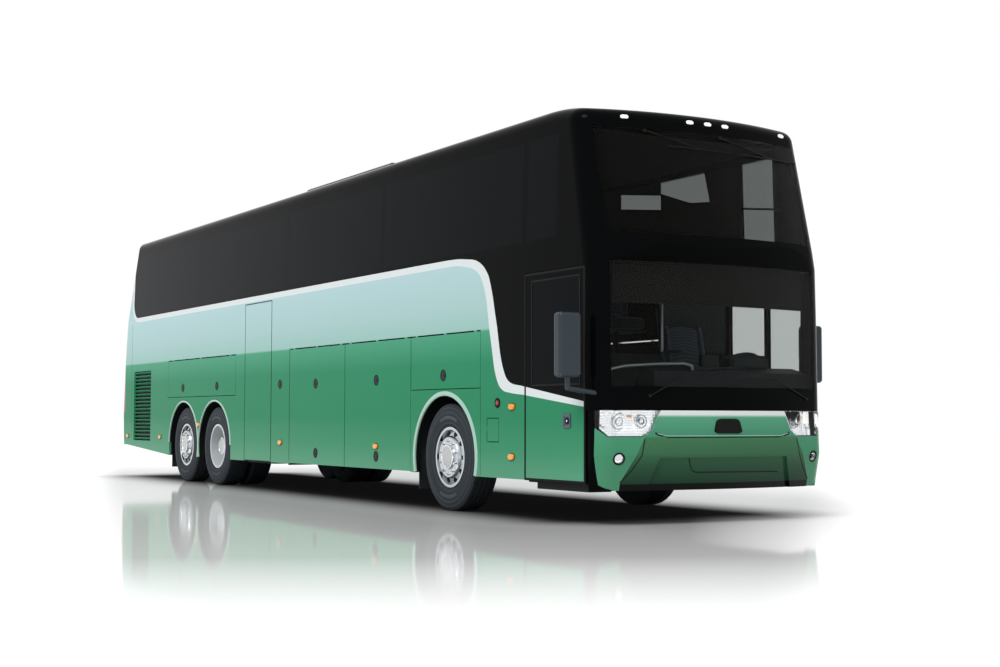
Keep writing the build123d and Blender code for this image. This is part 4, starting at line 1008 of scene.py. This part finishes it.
def makeArchLips():
    inner, proud = archLip["inner"], archLip["proud"]
    for side, word in bothSides:
        for axle, (start, turn) in archLip["sweeps"].items():
            outer = archLip["outer" if axle == "front" else "slim"]
            deep, shallow = archLip["liner"][axle]
            place = onSide(bus[axle + "AxleX"] + archLip["shift"], archLip["height"], side)
            first = start if side > 0 else 180 - start - turn
            shape = newShape()
            flat = place @ Matrix.Scale(archLip["flatShare"], 4, (0, 1, 0))
            addLathe(shape, flat, [(-0.006, inner), (proud * 0.6, inner), (proud, inner + 0.006),
                                    (proud, outer - 0.012), (proud * 0.4, outer),
                                    (-0.002, outer)], 64, first, turn)
            # the lip's pale colour is partly painted highlight along the arch's edge
            makePiece(axle + "ArchLip_" + word, shape, "paleGreenAndHighlight")
            shape = newShape()
            reach = archLip["linerRadius"]
            addLathe(shape, place, [(deep, reach), (shallow, reach), (shallow, reach + 0.002)], 64,
                     first, turn)
            makePiece(axle + "ArchLiner_" + word, shape, "seal")


# ---- locks, lamps and the handle on the sides; x and z from the photograph, in metres
sideFittings = {
    "locks": ((-3.908, 1.348), (-2.475, 1.349), (-0.192, 1.332), (0.915, 1.319), (2.563, 1.326),
              (4.105, 1.341), (0.926, 0.506), (2.566, 0.502)),
    "lockRadius": 0.058,
    "amber": ((-6.591, 0.627), (-4.940, 0.626), (-3.211, 0.821), (-0.167, 0.613), (2.564, 0.611),
              (5.454, 1.022), (5.447, 0.562)),
    # this one rides on the front luggage door
    "flapAmberX": 2.564,
    "amberHalf": (0.050, 0.026),
    "reflector": (5.187, 1.059),
}
lockBodies = {-3.908: "rear_flap", -2.475: "rear_flap", 0.915: "hold_door_rear",
              2.563: "hold_door_front", 4.105: "wheel_flap", 0.926: "hold_door_rear",
              2.566: "hold_door_front"}


def addLock(shape, inner, place):
    radius = sideFittings["lockRadius"]
    addLathe(shape, place, [(-0.001, radius), (0.003, radius), (0.004, radius * 0.93),
                            (0.002, radius * 0.84), (-0.001, radius * 0.80)], 36)
    addLathe(inner, place, [(0.0005, radius * 0.80), (0.0005, radius * 0.42),
                            (0.003, radius * 0.40), (0.004, radius * 0.34), (0.004, 0)], 32)
    addBox(inner, place @ Matrix.Translation((0, 0, 0.005)),
           (radius * 0.9, radius * 0.22, 0.006), 0.002)


def makeSideFittings():
    for side, word in bothSides:
        groups = {}
        for x, z in sideFittings["locks"]:
            groups.setdefault(lockBodies.get(x, "coach_body"), []).append((x, z))
        for start, places in groups.items():
            body = start if start == "coach_body" else start + "_" + word
            ring, disc = newShape(), newShape()
            for x, z in places:
                addLock(ring, disc, onSide(x, z, side))
            makePiece("lockRings_" + start + "_" + word, ring, "seal", body)
            makePiece("lockDiscs_" + start + "_" + word, disc, "trim", body)
        lenses, bezels = {}, {}
        halfWide, halfHigh = sideFittings["amberHalf"]
        for x, z in sideFittings["amber"]:
            onFlap = x == sideFittings["flapAmberX"]
            body = "hold_door_front_" + word if onFlap else "coach_body"
            lens = lenses.setdefault(body, newShape())
            bezel = bezels.setdefault(body, newShape())
            place = onSide(x, z, side)
            addPlate(bezel, place, roundedOutline(halfWide + 0.005, halfHigh + 0.005, 0.026),
                     -0.002, 0.004, 0.002)
            addPlate(lens, place, roundedOutline(halfWide, halfHigh, 0.022), 0.003, 0.018, 0.007)
        for body in lenses:
            tail = "" if body == "coach_body" else "_flap"
            makePiece("sideMarkers_" + word + tail, lenses[body], "amberLens", body)
            makePiece("markerSeats_" + word + tail, bezels[body], "seal", body)
        shape = newShape()
        addLathe(shape, onSide(*sideFittings["reflector"], side),
                 [(-0.002, 0.048), (0.008, 0.045), (0.010, 0.034), (0.004, 0.029), (0.004, 0)], 32)
        makePiece("sidePort_" + word, shape, "seal")
        shape = newShape()
        addLathe(shape, onSide(*sideFittings["reflector"], side, 0.003),
                 [(0.0, 0.027), (0.006, 0.024), (0.009, 0.014), (0.010, 0)], 24)
        makePiece("sidePortLens_" + word, shape, "redLens")


# ---- front door: handle box, rubber seals, and the mid door's seal
doorTrim = {
    "handle": (6.387, 0.894, 0.062),
    "sealWidth": 0.022,
    "sealProud": 0.006,
}


# A flat frame round a rectangle of two corners on the right side, drawn in by a gap
def addSeal(shape, box, gap, width, low, high):
    (rear, foot), (front, head) = ((corner.x, corner.z) for corner in box)
    place = onSide((rear + front) / 2, (foot + head) / 2, -1)
    halfWide, halfHigh = (front - rear) / 2 - gap, (head - foot) / 2 - gap
    for du, dv, wide, tall in ((0, halfHigh, halfWide + width / 2, width / 2),
                               (0, -halfHigh, halfWide + width / 2, width / 2),
                               (halfWide, 0, width / 2, halfHigh),
                               (-halfWide, 0, width / 2, halfHigh)):
        addBox(shape, place @ Matrix.Translation((du, dv, (low + high) / 2)),
               (wide * 2, tall * 2, high - low), min(width, high - low) * 0.3)


def makeDoorTrim():
    x, z, half = doorTrim["handle"]
    place = onSide(x, z, -1)
    shape = newShape()
    addPlate(shape, place, roundedOutline(half, half, 0.010), -0.004, 0.010, 0.003)
    addBox(shape, place @ Matrix.Translation((-half * 0.45, 0, 0.012)), (0.014, half * 1.4, 0.012),
           0.004)
    makePiece("doorHandlePlate", shape, "slatePaint", "front_door")
    shape = newShape()
    addLathe(shape, place @ Matrix.Translation((half * 0.30, 0, 0.0105)),
             [(0, half * 0.52), (0.003, half * 0.50), (0.001, half * 0.42), (0.001, 0)], 32)
    makePiece("doorHandleCup", shape, "seal", "front_door")
    shape = newShape()
    addLathe(shape, place @ Matrix.Translation((half * 0.30, 0, 0.011)),
             [(0, half * 0.16), (0.006, half * 0.14), (0.007, 0)], 20)
    makePiece("doorLockBarrel", shape, "chrome", "front_door")
    shape = newShape()
    addSeal(shape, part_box("front_door"), 0.008, doorTrim["sealWidth"], -0.01, doorTrim["sealProud"])
    addSeal(shape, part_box("front_door_glass"), 0.0, 0.022, -0.01, 0.004)
    makePiece("frontDoorSeals", shape, "seal", "front_door")
    shape = newShape()
    addSeal(shape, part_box("mid_door"), 0.004, 0.008, -0.01, 0.002)
    makePiece("midDoorSeal", shape, "seal", "mid_door")


# A thin raised line on a surface: each start is cast along aim to find its place
def addRibbon(shape, surface, aim, starts, width, low, high):
    hits = [place for place in (onSkin(surface, start, aim) for start in starts) if place]
    spots = [place.translation.copy() for place in hits]
    rings = []
    for number, place in enumerate(hits):
        ahead = spots[min(number + 1, len(spots) - 1)] - spots[max(number - 1, 0)]
        normal = place.col[2].to_3d()
        across = normal.cross(ahead).normalized() * width / 2
        rings.append([shape.verts.new(spots[number] + across * share + normal * lift)
                      for share, lift in ((-1, low), (-1, high), (1, high), (1, low))])
    joinRings(shape, rings)


def between(points, spacing):
    line = [Vector(points[0])]
    for first, last in zip(points, points[1:]):
        first, last = Vector(first), Vector(last)
        steps = max(1, math.ceil((last - first).length / spacing))
        line += [first.lerp(last, step / steps) for step in range(1, steps + 1)]
    return line


def noseStarts(points, side=1):
    return between([(farOut, side * y, z) for y, z in points], 0.03)


# The faces of a CAD node that a test keeps, as a shape of their own
def copyFaces(node, keep):
    shape = newShape()
    shape.from_mesh(bpy.data.objects[node].data)
    shape.faces.ensure_lookup_table()
    drop = [face for face in shape.faces if not keep(face)]
    bmesh.ops.delete(shape, geom=drop, context="FACES")
    return shape


# Faces forward: across is the bus's left, up is up, out is forward
def aheadAt(x, y, z):
    return Matrix(((0, 0, 1, x), (1, 0, 0, y), (0, 1, 0, z), (0, 0, 0, 1)))


# ---- headlamps: thin clear covers, a faceted bowl, two round reflectors and an indicator
headlamp = {
    "coverThickness": 0.004,
    "bowlBack": 0.040,
    "cornerY": 1.20,
    # faces of the lamps' node within this of the fog lamps' height belong to them
    "fogReach": 0.08,
    # y, z and radius
    "dipped": (1.052, 0.885, 0.060),
    "main": (0.848, 0.885, 0.047),
    # y, z and half sizes
    "indicator": (0.948, 0.925, 0.022, 0.010),
    # y, z, radius of the lens and of its ring
    "fog": (1.075, 0.574, 0.038, 0.0525),
    "pieces": {"headlampCovers": "clearLens", "headlampBowls": "facets",
               "headlampBezels": "steel", "headlampReflectors": "chrome",
               "headlampLenses": "clearLens", "headlampIndicators": "amberLens",
               "fogLampRings": "seal"},
}


def addProjector(bowl, lens, bezel, surface, side, y, z, radius):
    reach = min(onSkin(surface, (farOut, side * (y + step * radius), z), (-1, 0, 0)).translation.x
                for step in (-1, 0, 1))
    place = aheadAt(reach - 0.022, side * y, z)
    addLathe(bowl, place, [(-0.050, 0), (-0.050, radius * 0.45), (-0.036, radius * 0.72),
                           (-0.016, radius * 0.90), (0.0, radius), (0.004, radius * 1.02),
                           (0.005, radius * 1.10), (-0.020, radius * 1.14)], 48)
    for share in (1.16, 0.62):
        addLathe(bezel, place, [(-0.030 * (1.2 - share), radius * share),
                                (0.006, radius * share), (0.007, radius * (share - 0.10)),
                                (-0.004, radius * (share - 0.12))], 48)
    addLathe(lens, place, [(-0.046, radius * 0.56), (-0.026, radius * 0.56),
                           (-0.012, radius * 0.44), (-0.004, radius * 0.22), (-0.002, 0)], 40)


def makeHeadlamps():
    surface = surfaceOf("front_lamps", "front_bumper", "front_frame")
    aim = (-1, 0, 0)
    shapes = {name: newShape() for name in headlamp["pieces"]}
    covers, bowls, bezels, chromes, lenses, ambers, rings = shapes.values()
    def outward(face):
        middle = face.calc_center_median()
        level = abs(middle.z - headlamp["fog"][1]) > headlamp["fogReach"]
        atSide = abs(middle.y) > headlamp["cornerY"] and face.normal.y * middle.y > 0.5
        return level and (face.normal.x > 0.02 or atSide)
    cover = copyFaces("front_lamps", outward)
    # the bowl is the cover's own outline, set back along its normals
    back = cover.copy()
    back.normal_update()
    for vertex in back.verts:
        vertex.co -= vertex.normal * headlamp["bowlBack"]
    bmesh.ops.solidify(cover, geom=cover.faces[:], thickness=-headlamp["coverThickness"])
    takeIn(covers, cover, Matrix.Identity(4))
    takeIn(bowls, back, Matrix.Identity(4))
    for side in (-1, 1):
        for lamp in ("dipped", "main"):
            addProjector(chromes, lenses, bezels, surface, side, *headlamp[lamp])
        y, z, halfWide, halfHigh = headlamp["indicator"]
        x = onSkin(surface, (farOut, side * y, z), aim).translation.x
        addPlate(ambers, aheadAt(x - 0.035, side * y, z), roundedOutline(halfWide, halfHigh, 0.008),
                 -0.02, 0.0, 0.004)
        y, z, radius, ringRadius = headlamp["fog"]
        place = onSkin(surface, (farOut, side * y, z), aim)
        addLathe(rings, place, [(-0.040, ringRadius), (0.004, ringRadius),
                                (0.006, ringRadius * 0.90), (0.001, radius * 1.04),
                                (-0.012, radius), (-0.030, radius)], 48)
        addLathe(lenses, place, [(-0.030, radius), (-0.004, radius), (0.001, radius * 0.7),
                                 (0.003, 0)], 48)
        addLathe(chromes, place, [(-0.032, radius), (-0.036, radius * 0.4), (-0.030, 0)], 32)
    for name, finish in headlamp["pieces"].items():
        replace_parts(makePiece(name, shapes[name], finish), "front_lamps")


# ---- nose: blank pad, panel joints with painted crease shade, a painted edge highlight, bumper splits, roof markers
nose = {
    "padHalfTop": 0.125,
    "padHalfFoot": 0.160,
    "padZ": (0.786, 0.914),
    "split": ((0.835, 0.768), (0.873, 0.599), (0.946, 0.478), (1.04, 0.372)),
    "panelFoot": ((-0.765, 0.815), (-0.72, 0.776), (-0.63, 0.757), (0.63, 0.757), (0.72, 0.776),
                  (0.765, 0.815)),
    "recessStep": ((-0.400, 0.574), (-0.380, 0.520), (-0.355, 0.470), (-0.315, 0.452),
                   (0.560, 0.446), (0.640, 0.440)),
    "markerY": (-0.833, -0.175, 0.022, 0.223, 0.966),
    "markerZ": 3.56,
    "markerHalf": (0.038, 0.016),
    "seam": 0.009,
    # the printed edge under the upper windscreen
    "waveFoot": 2.275,
    "waveRows": 5,
    "wave": ((-1.08, 2.285), (-0.90, 2.325), (-0.747, 2.394), (-0.59, 2.418), (-0.18, 2.412),
             (0.087, 2.420), (0.372, 2.448), (0.682, 2.480), (0.90, 2.470), (1.08, 2.400)),
}


def makeNose():
    surface = surfaceOf("front_bumper", "front_frame", "front_lamps", "windscreens")
    aim = (-1, 0, 0)
    shape = newShape()
    lowZ, highZ = nose["padZ"]
    middle = (lowZ + highZ) / 2
    half = (highZ - lowZ) / 2
    outline = []
    for u, v in roundedOutline(1.0, 1.0, 0.42, 6):
        wide = nose["padHalfFoot"] + (nose["padHalfTop"] - nose["padHalfFoot"]) * (v + 1) / 2
        outline.append((u * wide, v * half))
    addPlate(shape, onSkin(surface, (farOut, 0, middle), aim), outline, -0.006, 0.009, 0.006)
    makePiece("nosePad", shape, "blackGloss")
    jointsAndCreaseShade = newShape()
    for side in (-1, 1):
        addRibbon(jointsAndCreaseShade, surface, aim, noseStarts(nose["split"], side), nose["seam"],
                  -0.003, 0.0012)
    # the dark lines along the panel's foot and the recess step are joints and painted shade of the
    # creases there
    addRibbon(jointsAndCreaseShade, surface, aim, noseStarts(nose["panelFoot"]), 0.012, -0.003, 0.0014)
    addRibbon(jointsAndCreaseShade, surface, aim, noseStarts(nose["recessStep"]), 0.008, -0.003, 0.003)
    makePiece("bumperJoints", jointsAndCreaseShade, "seal")
    # a pale line just over the panel's foot: painted highlight along its edge
    shine = newShape()
    raised = [(y, z + 0.010) for y, z in nose["panelFoot"]]
    addRibbon(shine, surface, aim, noseStarts(raised), 0.005, -0.003, 0.002)
    makePiece("panelEdge", shine, "paleGreenAndHighlight")
    # dark print between the windscreens, up to its waved edge
    wave = newShape()
    foot = nose["waveFoot"]
    columns = []
    for edge in noseStarts(nose["wave"]):
        column = []
        for step in range(nose["waveRows"] + 1):
            z = foot + (edge.z - foot) * step / nose["waveRows"]
            place = onSkin(surface, (farOut, edge.y, z), aim)
            column.append(wave.verts.new(place @ Vector((0, 0, 0.0012))))
        columns.append(column)
    for column, after in zip(columns, columns[1:]):
        for row in range(nose["waveRows"]):
            addFace(wave, (column[row], after[row], after[row + 1], column[row + 1]))
    makePiece("screenPrint", wave, "screenPrint")
    roof = surfaceOf("roof_shell", "front_frame")
    lenses, seats = newShape(), newShape()
    halfWide, halfHigh = nose["markerHalf"]
    for y in nose["markerY"]:
        place = onSkin(roof, (farOut, y, nose["markerZ"]), aim)
        addPlate(seats, place, roundedOutline(halfWide + 0.006, halfHigh + 0.006, 0.018), -0.004,
                 0.004, 0.002)
        addPlate(lenses, place, roundedOutline(halfWide, halfHigh, 0.015), 0.002, 0.014, 0.005)
    makePiece("roofMarkers", lenses, "whiteLens")
    makePiece("roofMarkerSeats", seats, "seal")


# ---- seats: crowned foam pads on moulded shells; places from the bus's seat plan
seatPlan = {
    "rows": 12,
    "pitch": 0.84,
    "frontX": 4.25,
    "aisle": 0.25,
    "width": 0.44,
    "length": 0.47,
    "padTop": 0.43,
    "padThick": 0.13,
    "backTop": 1.12,
    "lean": 0.13,
    # rows on the right that the middle entrance's stairs leave out: x of the gap
    "stairs": (-1.60, 0.17),
    "driver": (5.95, 0.62, 0.94),
}


# A closed crowned form: half sizes along three axes, squareness from 0 to 1, crown on +w
def addPad(shape, place, half, square=0.35, crown=0.12, around=20, upward=12):
    def shaped(value, power):
        return math.copysign(abs(value) ** power, value)
    grid = []
    for row in range(upward + 1):
        tilt = -math.pi / 2 + math.pi * row / upward
        ring = []
        for step in range(around):
            turn = 2 * math.pi * step / around
            u = shaped(math.cos(tilt), square) * shaped(math.cos(turn), square)
            v = shaped(math.cos(tilt), square) * shaped(math.sin(turn), square)
            w = shaped(math.sin(tilt), square * 1.3)
            pull = 1 - 0.05 * (1 - abs(w)) * (1 - (u * u) * (v * v))
            swell = crown * (1 - u * u) * (1 - v * v) if w > 0 else 0
            ring.append(shape.verts.new(place @ Vector((u * half[0] * pull, v * half[1] * pull,
                                                        (w + swell * 2) * half[2]))))
        grid.append(ring)
    joinRings(shape, grid, False)


def addSeat(pads, shells, frames, x, y, floor, width, armrest):
    halfWide = width / 2 - 0.018
    length, thick = seatPlan["length"], seatPlan["padThick"]
    rear = x - length
    top = floor + seatPlan["padTop"]
    # cushion: u forward, v left, w up, with two side bolsters and a front roll
    flat = Matrix.Translation((x - length / 2 + 0.02, y, top - thick / 2))
    addPad(pads, flat, (length / 2, halfWide, thick / 2))
    for share in (-1, 1):
        addPad(pads, flat @ Matrix.Translation((-0.01, share * (halfWide - 0.03), 0.035)),
               (length / 2 - 0.03, 0.028, 0.042), 0.5, 0.0, 12, 8)
    # the back leans: w forward, v left, u up
    height = seatPlan["backTop"] - seatPlan["padTop"] + 0.02
    lean = math.atan2(seatPlan["lean"], height)
    foot = Vector((rear + 0.085, y, top - 0.03))
    back = Matrix.Translation(foot) @ Matrix.Rotation(-lean - math.pi / 2, 4, "Y") \
        @ Matrix.Scale(-1, 4, (0, 0, 1))
    middle = back @ Matrix.Translation((height * 0.40, 0, 0))
    addPad(pads, middle, (height * 0.40, halfWide, 0.045))
    for share in (-1, 1):
        addPad(pads, middle @ Matrix.Translation((-0.02, share * (halfWide - 0.03), 0.025)),
               (height * 0.33, 0.030, 0.045), 0.5, 0.0, 12, 8)
    addPad(pads, back @ Matrix.Translation((height * 0.885, 0, 0.004)),
           (height * 0.115, halfWide * 0.70, 0.050), 0.5, 0.1, 16, 10)
    addBox(shells, back @ Matrix.Translation((height * 0.48, 0, -0.048)),
           (height * 0.94, width - 0.03, 0.022), 0.010)
    addBox(shells, flat @ Matrix.Translation((0, 0, -thick / 2 - 0.012)),
           (length - 0.03, width - 0.03, 0.026), 0.010)
    # a rear and a front leg under the aisle side
    for legRear, legFront in ((rear + 0.12, rear + 0.17), (x - 0.14, x - 0.10)):
        addBlock(frames, (legRear, y - width * 0.32, floor),
                 (legFront, y - width * 0.22, top - 0.14), 0.006)
    if armrest:
        arm = Vector((rear + 0.06, y + armrest * (width / 2 - 0.012), top + 0.19))
        addBox(shells, Matrix.Translation(arm + Vector((0.15, 0, 0))), (0.32, 0.045, 0.035), 0.014)


def makeSeats():
    for side, word in bothSides:
        pads, shells, frames = newShape(), newShape(), newShape()
        for number in range(seatPlan["rows"]):
            x = seatPlan["frontX"] - seatPlan["pitch"] * number
            low, high = seatPlan["stairs"]
            if side < 0 and low < x < high:
                continue
            for place in (0, 1):
                y = side * (seatPlan["aisle"] + seatPlan["width"] * (place + 0.5))
                addSeat(pads, shells, frames, x, y, bus["deckZ"], seatPlan["width"],
                        -side if place == 0 else 0)
        if side > 0:
            x, y, floor = seatPlan["driver"]
            addSeat(pads, shells, frames, x, y, floor, 0.50, -1)
        piece = makePiece("seatPads_" + word, pads, "cloth", sharp=60)
        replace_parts(piece, "seats_" + word)
        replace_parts(makePiece("seatShells_" + word, shells, "shell"), "seats_" + word)
        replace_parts(makePiece("seatLegs_" + word, frames, "frameSteel"), "seats_" + word)


# ---- what shows through the windscreens
cabin = {
    # blocks: two corners and the bevel
    "binnacle": ((6.36, 0.40, 1.36), (6.56, 0.86, 1.50), 0.03),
    "screens": ((6.40, 0.14, 1.38), (6.46, 0.34, 1.50), 0.01),
    "crate": ((6.50, -1.10, 1.30), (6.56, -1.02, 1.40), 0.012),
    "partition": ((5.50, 0.34, 1.56), (5.53, 1.16, 2.30), 0.01),
    # dark cloth under the ceiling
    "headliner": ((-6.3, -1.10, 3.484), (6.35, 1.10, 3.49), 0.0),
    "rail": ((6.54, -0.96, 1.22), (6.55, -0.94, 1.345), (6.58, -0.80, 1.375), (6.62, -0.50, 1.395),
             (6.64, -0.20, 1.405), (6.64, -0.12, 1.385), (6.64, -0.10, 1.30)),
    # x, y, foot and head
    "posts": ((5.62, -0.36, 0.94, 2.30), (5.62, 0.30, 1.56, 2.36), (6.30, -1.05, 0.95, 2.25)),
    "railRadius": 0.016,
    # the roller blind: z and y from and to, columns, distance behind the pane, thickness
    "blindZ": (1.91, 2.29),
    "blindY": (-1.06, 1.06),
    "blindSteps": 12,
    "blindBehind": 0.10,
    "blindThick": 0.004,
    # drawn curtains inside the left upper windows as outlines in x and z, open in two places
    "curtains": (((-6.2, 2.50), (3.62, 2.50), (3.62, 3.47), (-6.2, 3.47)),
                 ((3.62, 2.50), (4.37, 2.50), (4.37, 3.145), (3.62, 3.24)),
                 ((3.62, 3.40), (4.37, 3.30), (4.37, 3.47), (3.62, 3.47)),
                 ((4.37, 2.50), (5.70, 2.50), (5.70, 3.47), (5.12, 3.47), (5.215, 3.13),
                  (4.88, 3.16), (4.37, 3.32))),
    "curtainY": (1.212, 1.218),
    # rail across the open window: x from and to, z there
    "windowBar": (5.72, 6.33, 3.00, 2.92),
}


def makeBlocks(name, finish, blocks):
    shape = newShape()
    for low, high, bevel in blocks:
        addBlock(shape, low, high, bevel)
    makePiece(name, shape, finish)


# One roller blind just behind the lower windscreen
def makeBlind():
    surface = surfaceOf("windscreens")
    low, high = cabin["blindZ"]
    start, end = cabin["blindY"]
    shape = newShape()
    rings = []
    for step in range(cabin["blindSteps"] + 1):
        y = start + (end - start) * step / cabin["blindSteps"]
        pane = onSkin(surface, (farOut, y, (low + high) / 2), (-1, 0, 0)).translation.x
        x = pane - cabin["blindBehind"]
        back = x - cabin["blindThick"]
        rings.append([shape.verts.new(corner) for corner in ((x, y, low), (x, y, high),
                                                             (back, y, high), (back, y, low))])
    joinRings(shape, rings)
    piece = makePiece("rollerBlind", shape, "blind")


def makeCurtains():
    shape = newShape()
    for outline in cabin["curtains"]:
        joinRings(shape, [[shape.verts.new((x, y, z)) for x, z in outline]
                          for y in cabin["curtainY"]])
    rear, front, z, frontZ = cabin["windowBar"]
    y = cabin["curtainY"][0]
    addBar(shape, [(rear, y, z), (front, y, frontZ)], 0.010, 8)
    makePiece("windowBlinds", shape, "blind")


def makeCabin():
    makeBlocks("dashBinnacle", "trim", (cabin["binnacle"], cabin["screens"]))
    makeBlocks("dashBox", "paleTrim", (cabin["crate"],))
    shape = newShape()
    addBar(shape, cabin["rail"], cabin["railRadius"], 12)
    for x, y, foot, head in cabin["posts"]:
        addBar(shape, [(x, y, foot), (x, y, head)], cabin["railRadius"], 12)
    makePiece("cabinRails", shape, "steel")
    makeBlocks("driverPartition", "trim", (cabin["partition"],))
    makeBlind()
    makeCurtains()
    makeBlocks("headliner", "blind", (cabin["headliner"],))


# ---- mirrors: silvered glass on the rear faces, a joint round each pane
mirrorPlan = {
    "x": {-1: 6.76, 1: 6.38},
    "inner": 1.40,
    "outer": 1.62,
    "low": 1.26,
    "high": 1.81,
    "depth": 0.12,
    "splitZ": 1.47,
}


def makeMirrors():
    glass, joints = newShape(), newShape()
    for side, x in mirrorPlan["x"].items():
        middle = side * (mirrorPlan["inner"] + mirrorPlan["outer"]) / 2
        halfWide = (mirrorPlan["outer"] - mirrorPlan["inner"]) / 2 - 0.022
        rear = x - mirrorPlan["depth"] / 2
        for low, high in ((mirrorPlan["low"] + 0.03, mirrorPlan["splitZ"] - 0.008),
                          (mirrorPlan["splitZ"] + 0.008, mirrorPlan["high"] - 0.03)):
            place = Matrix(((0, 0, -1, rear), (-1, 0, 0, middle), (0, 1, 0, (low + high) / 2),
                            (0, 0, 0, 1)))
            halfHigh = (high - low) / 2
            addPlate(glass, place, roundedOutline(halfWide, halfHigh, 0.02), -0.002, 0.002)
            addPlate(joints, place, roundedOutline(halfWide + 0.005, halfHigh + 0.005, 0.022),
                     -0.003, 0.001)
    makePiece("mirrorGlass", glass, "mirrorGlass")
    makePiece("mirrorGlassRims", joints, "seal")


# ---- upright joints between the fixed panels of each side: x, from z, to z, width
wallJoints = ((0.11, 0.40, 1.755, 0.004), (-6.42, 0.62, 2.40, 0.004), (4.86, 0.37, 1.20, 0.004))


def makeSideJoints():
    for side, word in bothSides:
        surface = surfaceOf("side_wall_" + word, "window_frame_" + word)
        shape = newShape()
        for x, low, high, width in wallJoints:
            starts = between([(x, side * 3, low), (x, side * 3, high)], 0.1)
            addRibbon(shape, surface, (0, -side, 0), starts, width, -0.002, 0.0008)
        makePiece("wallJoints_" + word, shape, "seal")


# ---- tail: round lamps, reflectors, louvre backs, the engine door's grille and locks, exhaust
tail = {
    "lampY": 1.115,
    # z, radius and finish
    "lamps": ((1.46, 0.062, "redLens"), (1.30, 0.062, "redLens"), (1.14, 0.056, "amberLens"),
              (1.035, 0.030, "clearLens")),
    "pieces": {"rearLampRed": "redLens", "rearLampAmber": "amberLens",
               "rearLampClear": "clearLens"},
    # y, z and half sizes
    "reflector": (1.09, 0.60, 0.045, 0.018),
    "handleY": 0.52,
    "handleZ": 0.90,
    # dark mesh behind the louvres: x from and to, z from and to, distances from the middle
    "louvreBack": (-6.30, -5.43, 0.56, 1.64, 1.222, 1.226),
    "grilleY": 0.62,
    # z from and to, and how many bars
    "grilleZ": (1.02, 1.40, 9),
    # x, y and z of the pipe's end
    "exhaust": (-6.55, 0.78, 0.42),
}


def makeLouvreBacks():
    rear, front, low, high, near, far = tail["louvreBack"]
    makeBlocks("louvreBacks", "seal", [((rear, min(side * near, side * far), low),
                                        (front, max(side * near, side * far), high), 0.0)
                                       for side in (-1, 1)])


def makeTail():
    surface = surfaceOf("rear_wall", "engine_door", "rear_lamps", "rear_window")
    aim = (1, 0, 0)
    groups = {finish: newShape() for finish in tail["pieces"].values()}
    rings = newShape()
    for side in (-1, 1):
        for z, radius, finish in tail["lamps"]:
            place = onSkin(surface, (-farOut, side * tail["lampY"], z), aim)
            addLathe(rings, place, [(-0.012, radius * 1.16), (0.010, radius * 1.14),
                                    (0.013, radius * 1.04), (0.004, radius)], 40)
            addLathe(groups[finish], place, [(-0.010, radius), (0.006, radius),
                                             (0.014, radius * 0.75), (0.018, 0)], 40)
        y, z, halfWide, halfHigh = tail["reflector"]
        place = onSkin(surface, (-farOut, side * y, z), aim)
        addPlate(groups["redLens"], place, roundedOutline(halfWide, halfHigh, 0.006), -0.002, 0.008,
                 0.002)
    makePiece("rearLampRings", rings, "chrome")
    for name, finish in tail["pieces"].items():
        makePiece(name, groups[finish], finish)
    bars = newShape()
    door = surfaceOf("engine_door")
    low, high, count = tail["grilleZ"]
    reach = tail["grilleY"]
    for number in range(count):
        z = low + (high - low) * number / (count - 1)
        starts = between([(-farOut, -reach, z), (-farOut, reach, z)], 0.06)
        addRibbon(bars, door, aim, starts, 0.018, -0.002, 0.008)
    makePiece("engineDoorGrille", bars, "seal", "engine_door")
    locks = newShape()
    for side in (-1, 1):
        place = onSkin(door, (-farOut, side * tail["handleY"], tail["handleZ"]), aim)
        addLathe(locks, place, [(-0.002, 0.040), (0.004, 0.040), (0.006, 0.034), (0.002, 0.030),
                                (0.002, 0)], 32)
        addBox(locks, place @ Matrix.Translation((0, 0, 0.006)), (0.05, 0.014, 0.010), 0.003)
    makePiece("engineDoorLocks", locks, "steel", "engine_door")
    pipe = newShape()
    addLathe(pipe, Matrix.Translation(tail["exhaust"]) @ Matrix.Rotation(-math.pi / 2, 4, "Y"),
             [(-0.45, 0.0), (-0.45, 0.055), (0.0, 0.055), (0.002, 0.050), (-0.10, 0.050),
              (-0.10, 0)], 32)
    makePiece("exhaustPipe", pipe, "steel")


# ---- under the floor: air tanks between the rails
under = {
    "tanks": ((3.05, -0.20), (3.05, 0.20), (-4.55, 0.25)),
    "tankRadius": 0.125,
    "tankLength": 0.62,
    "tankZ": 0.50,
}


def makeUnder():
    shape = newShape()
    half, radius = under["tankLength"] / 2, under["tankRadius"]
    for x, y in under["tanks"]:
        place = Matrix.Translation((x, y, under["tankZ"])) @ Matrix.Rotation(math.pi / 2, 4, "Y")
        addLathe(shape, place, [(-half - 0.05, 0), (-half - 0.04, radius * 0.6), (-half, radius),
                                (half, radius), (half + 0.04, radius * 0.6), (half + 0.05, 0)], 32)
        # two straps round each tank
        for along in (-half * 0.6, half * 0.6):
            addLathe(shape, place, [(along - 0.015, radius + 0.004),
                                    (along + 0.015, radius + 0.004)], 32)
    makePiece("airTanks", shape, "frameSteel")


makeCamera()
makeFloor()
makeCard()
makeLight()
finishes = makeMaterials()
dressNodes(finishes)
makeTyres()
makeWheelTrim()
makeArchLips()
makeSideFittings()
makeDoorTrim()
print("wheels and side fittings made")
makeHeadlamps()
makeNose()
makeMirrors()
makeSideJoints()
print("nose and joints made")
makeSeats()
makeCabin()
print("seats and cabin made")
makeTail()
makeLouvreBacks()
makeUnder()
print("tail and underside made")
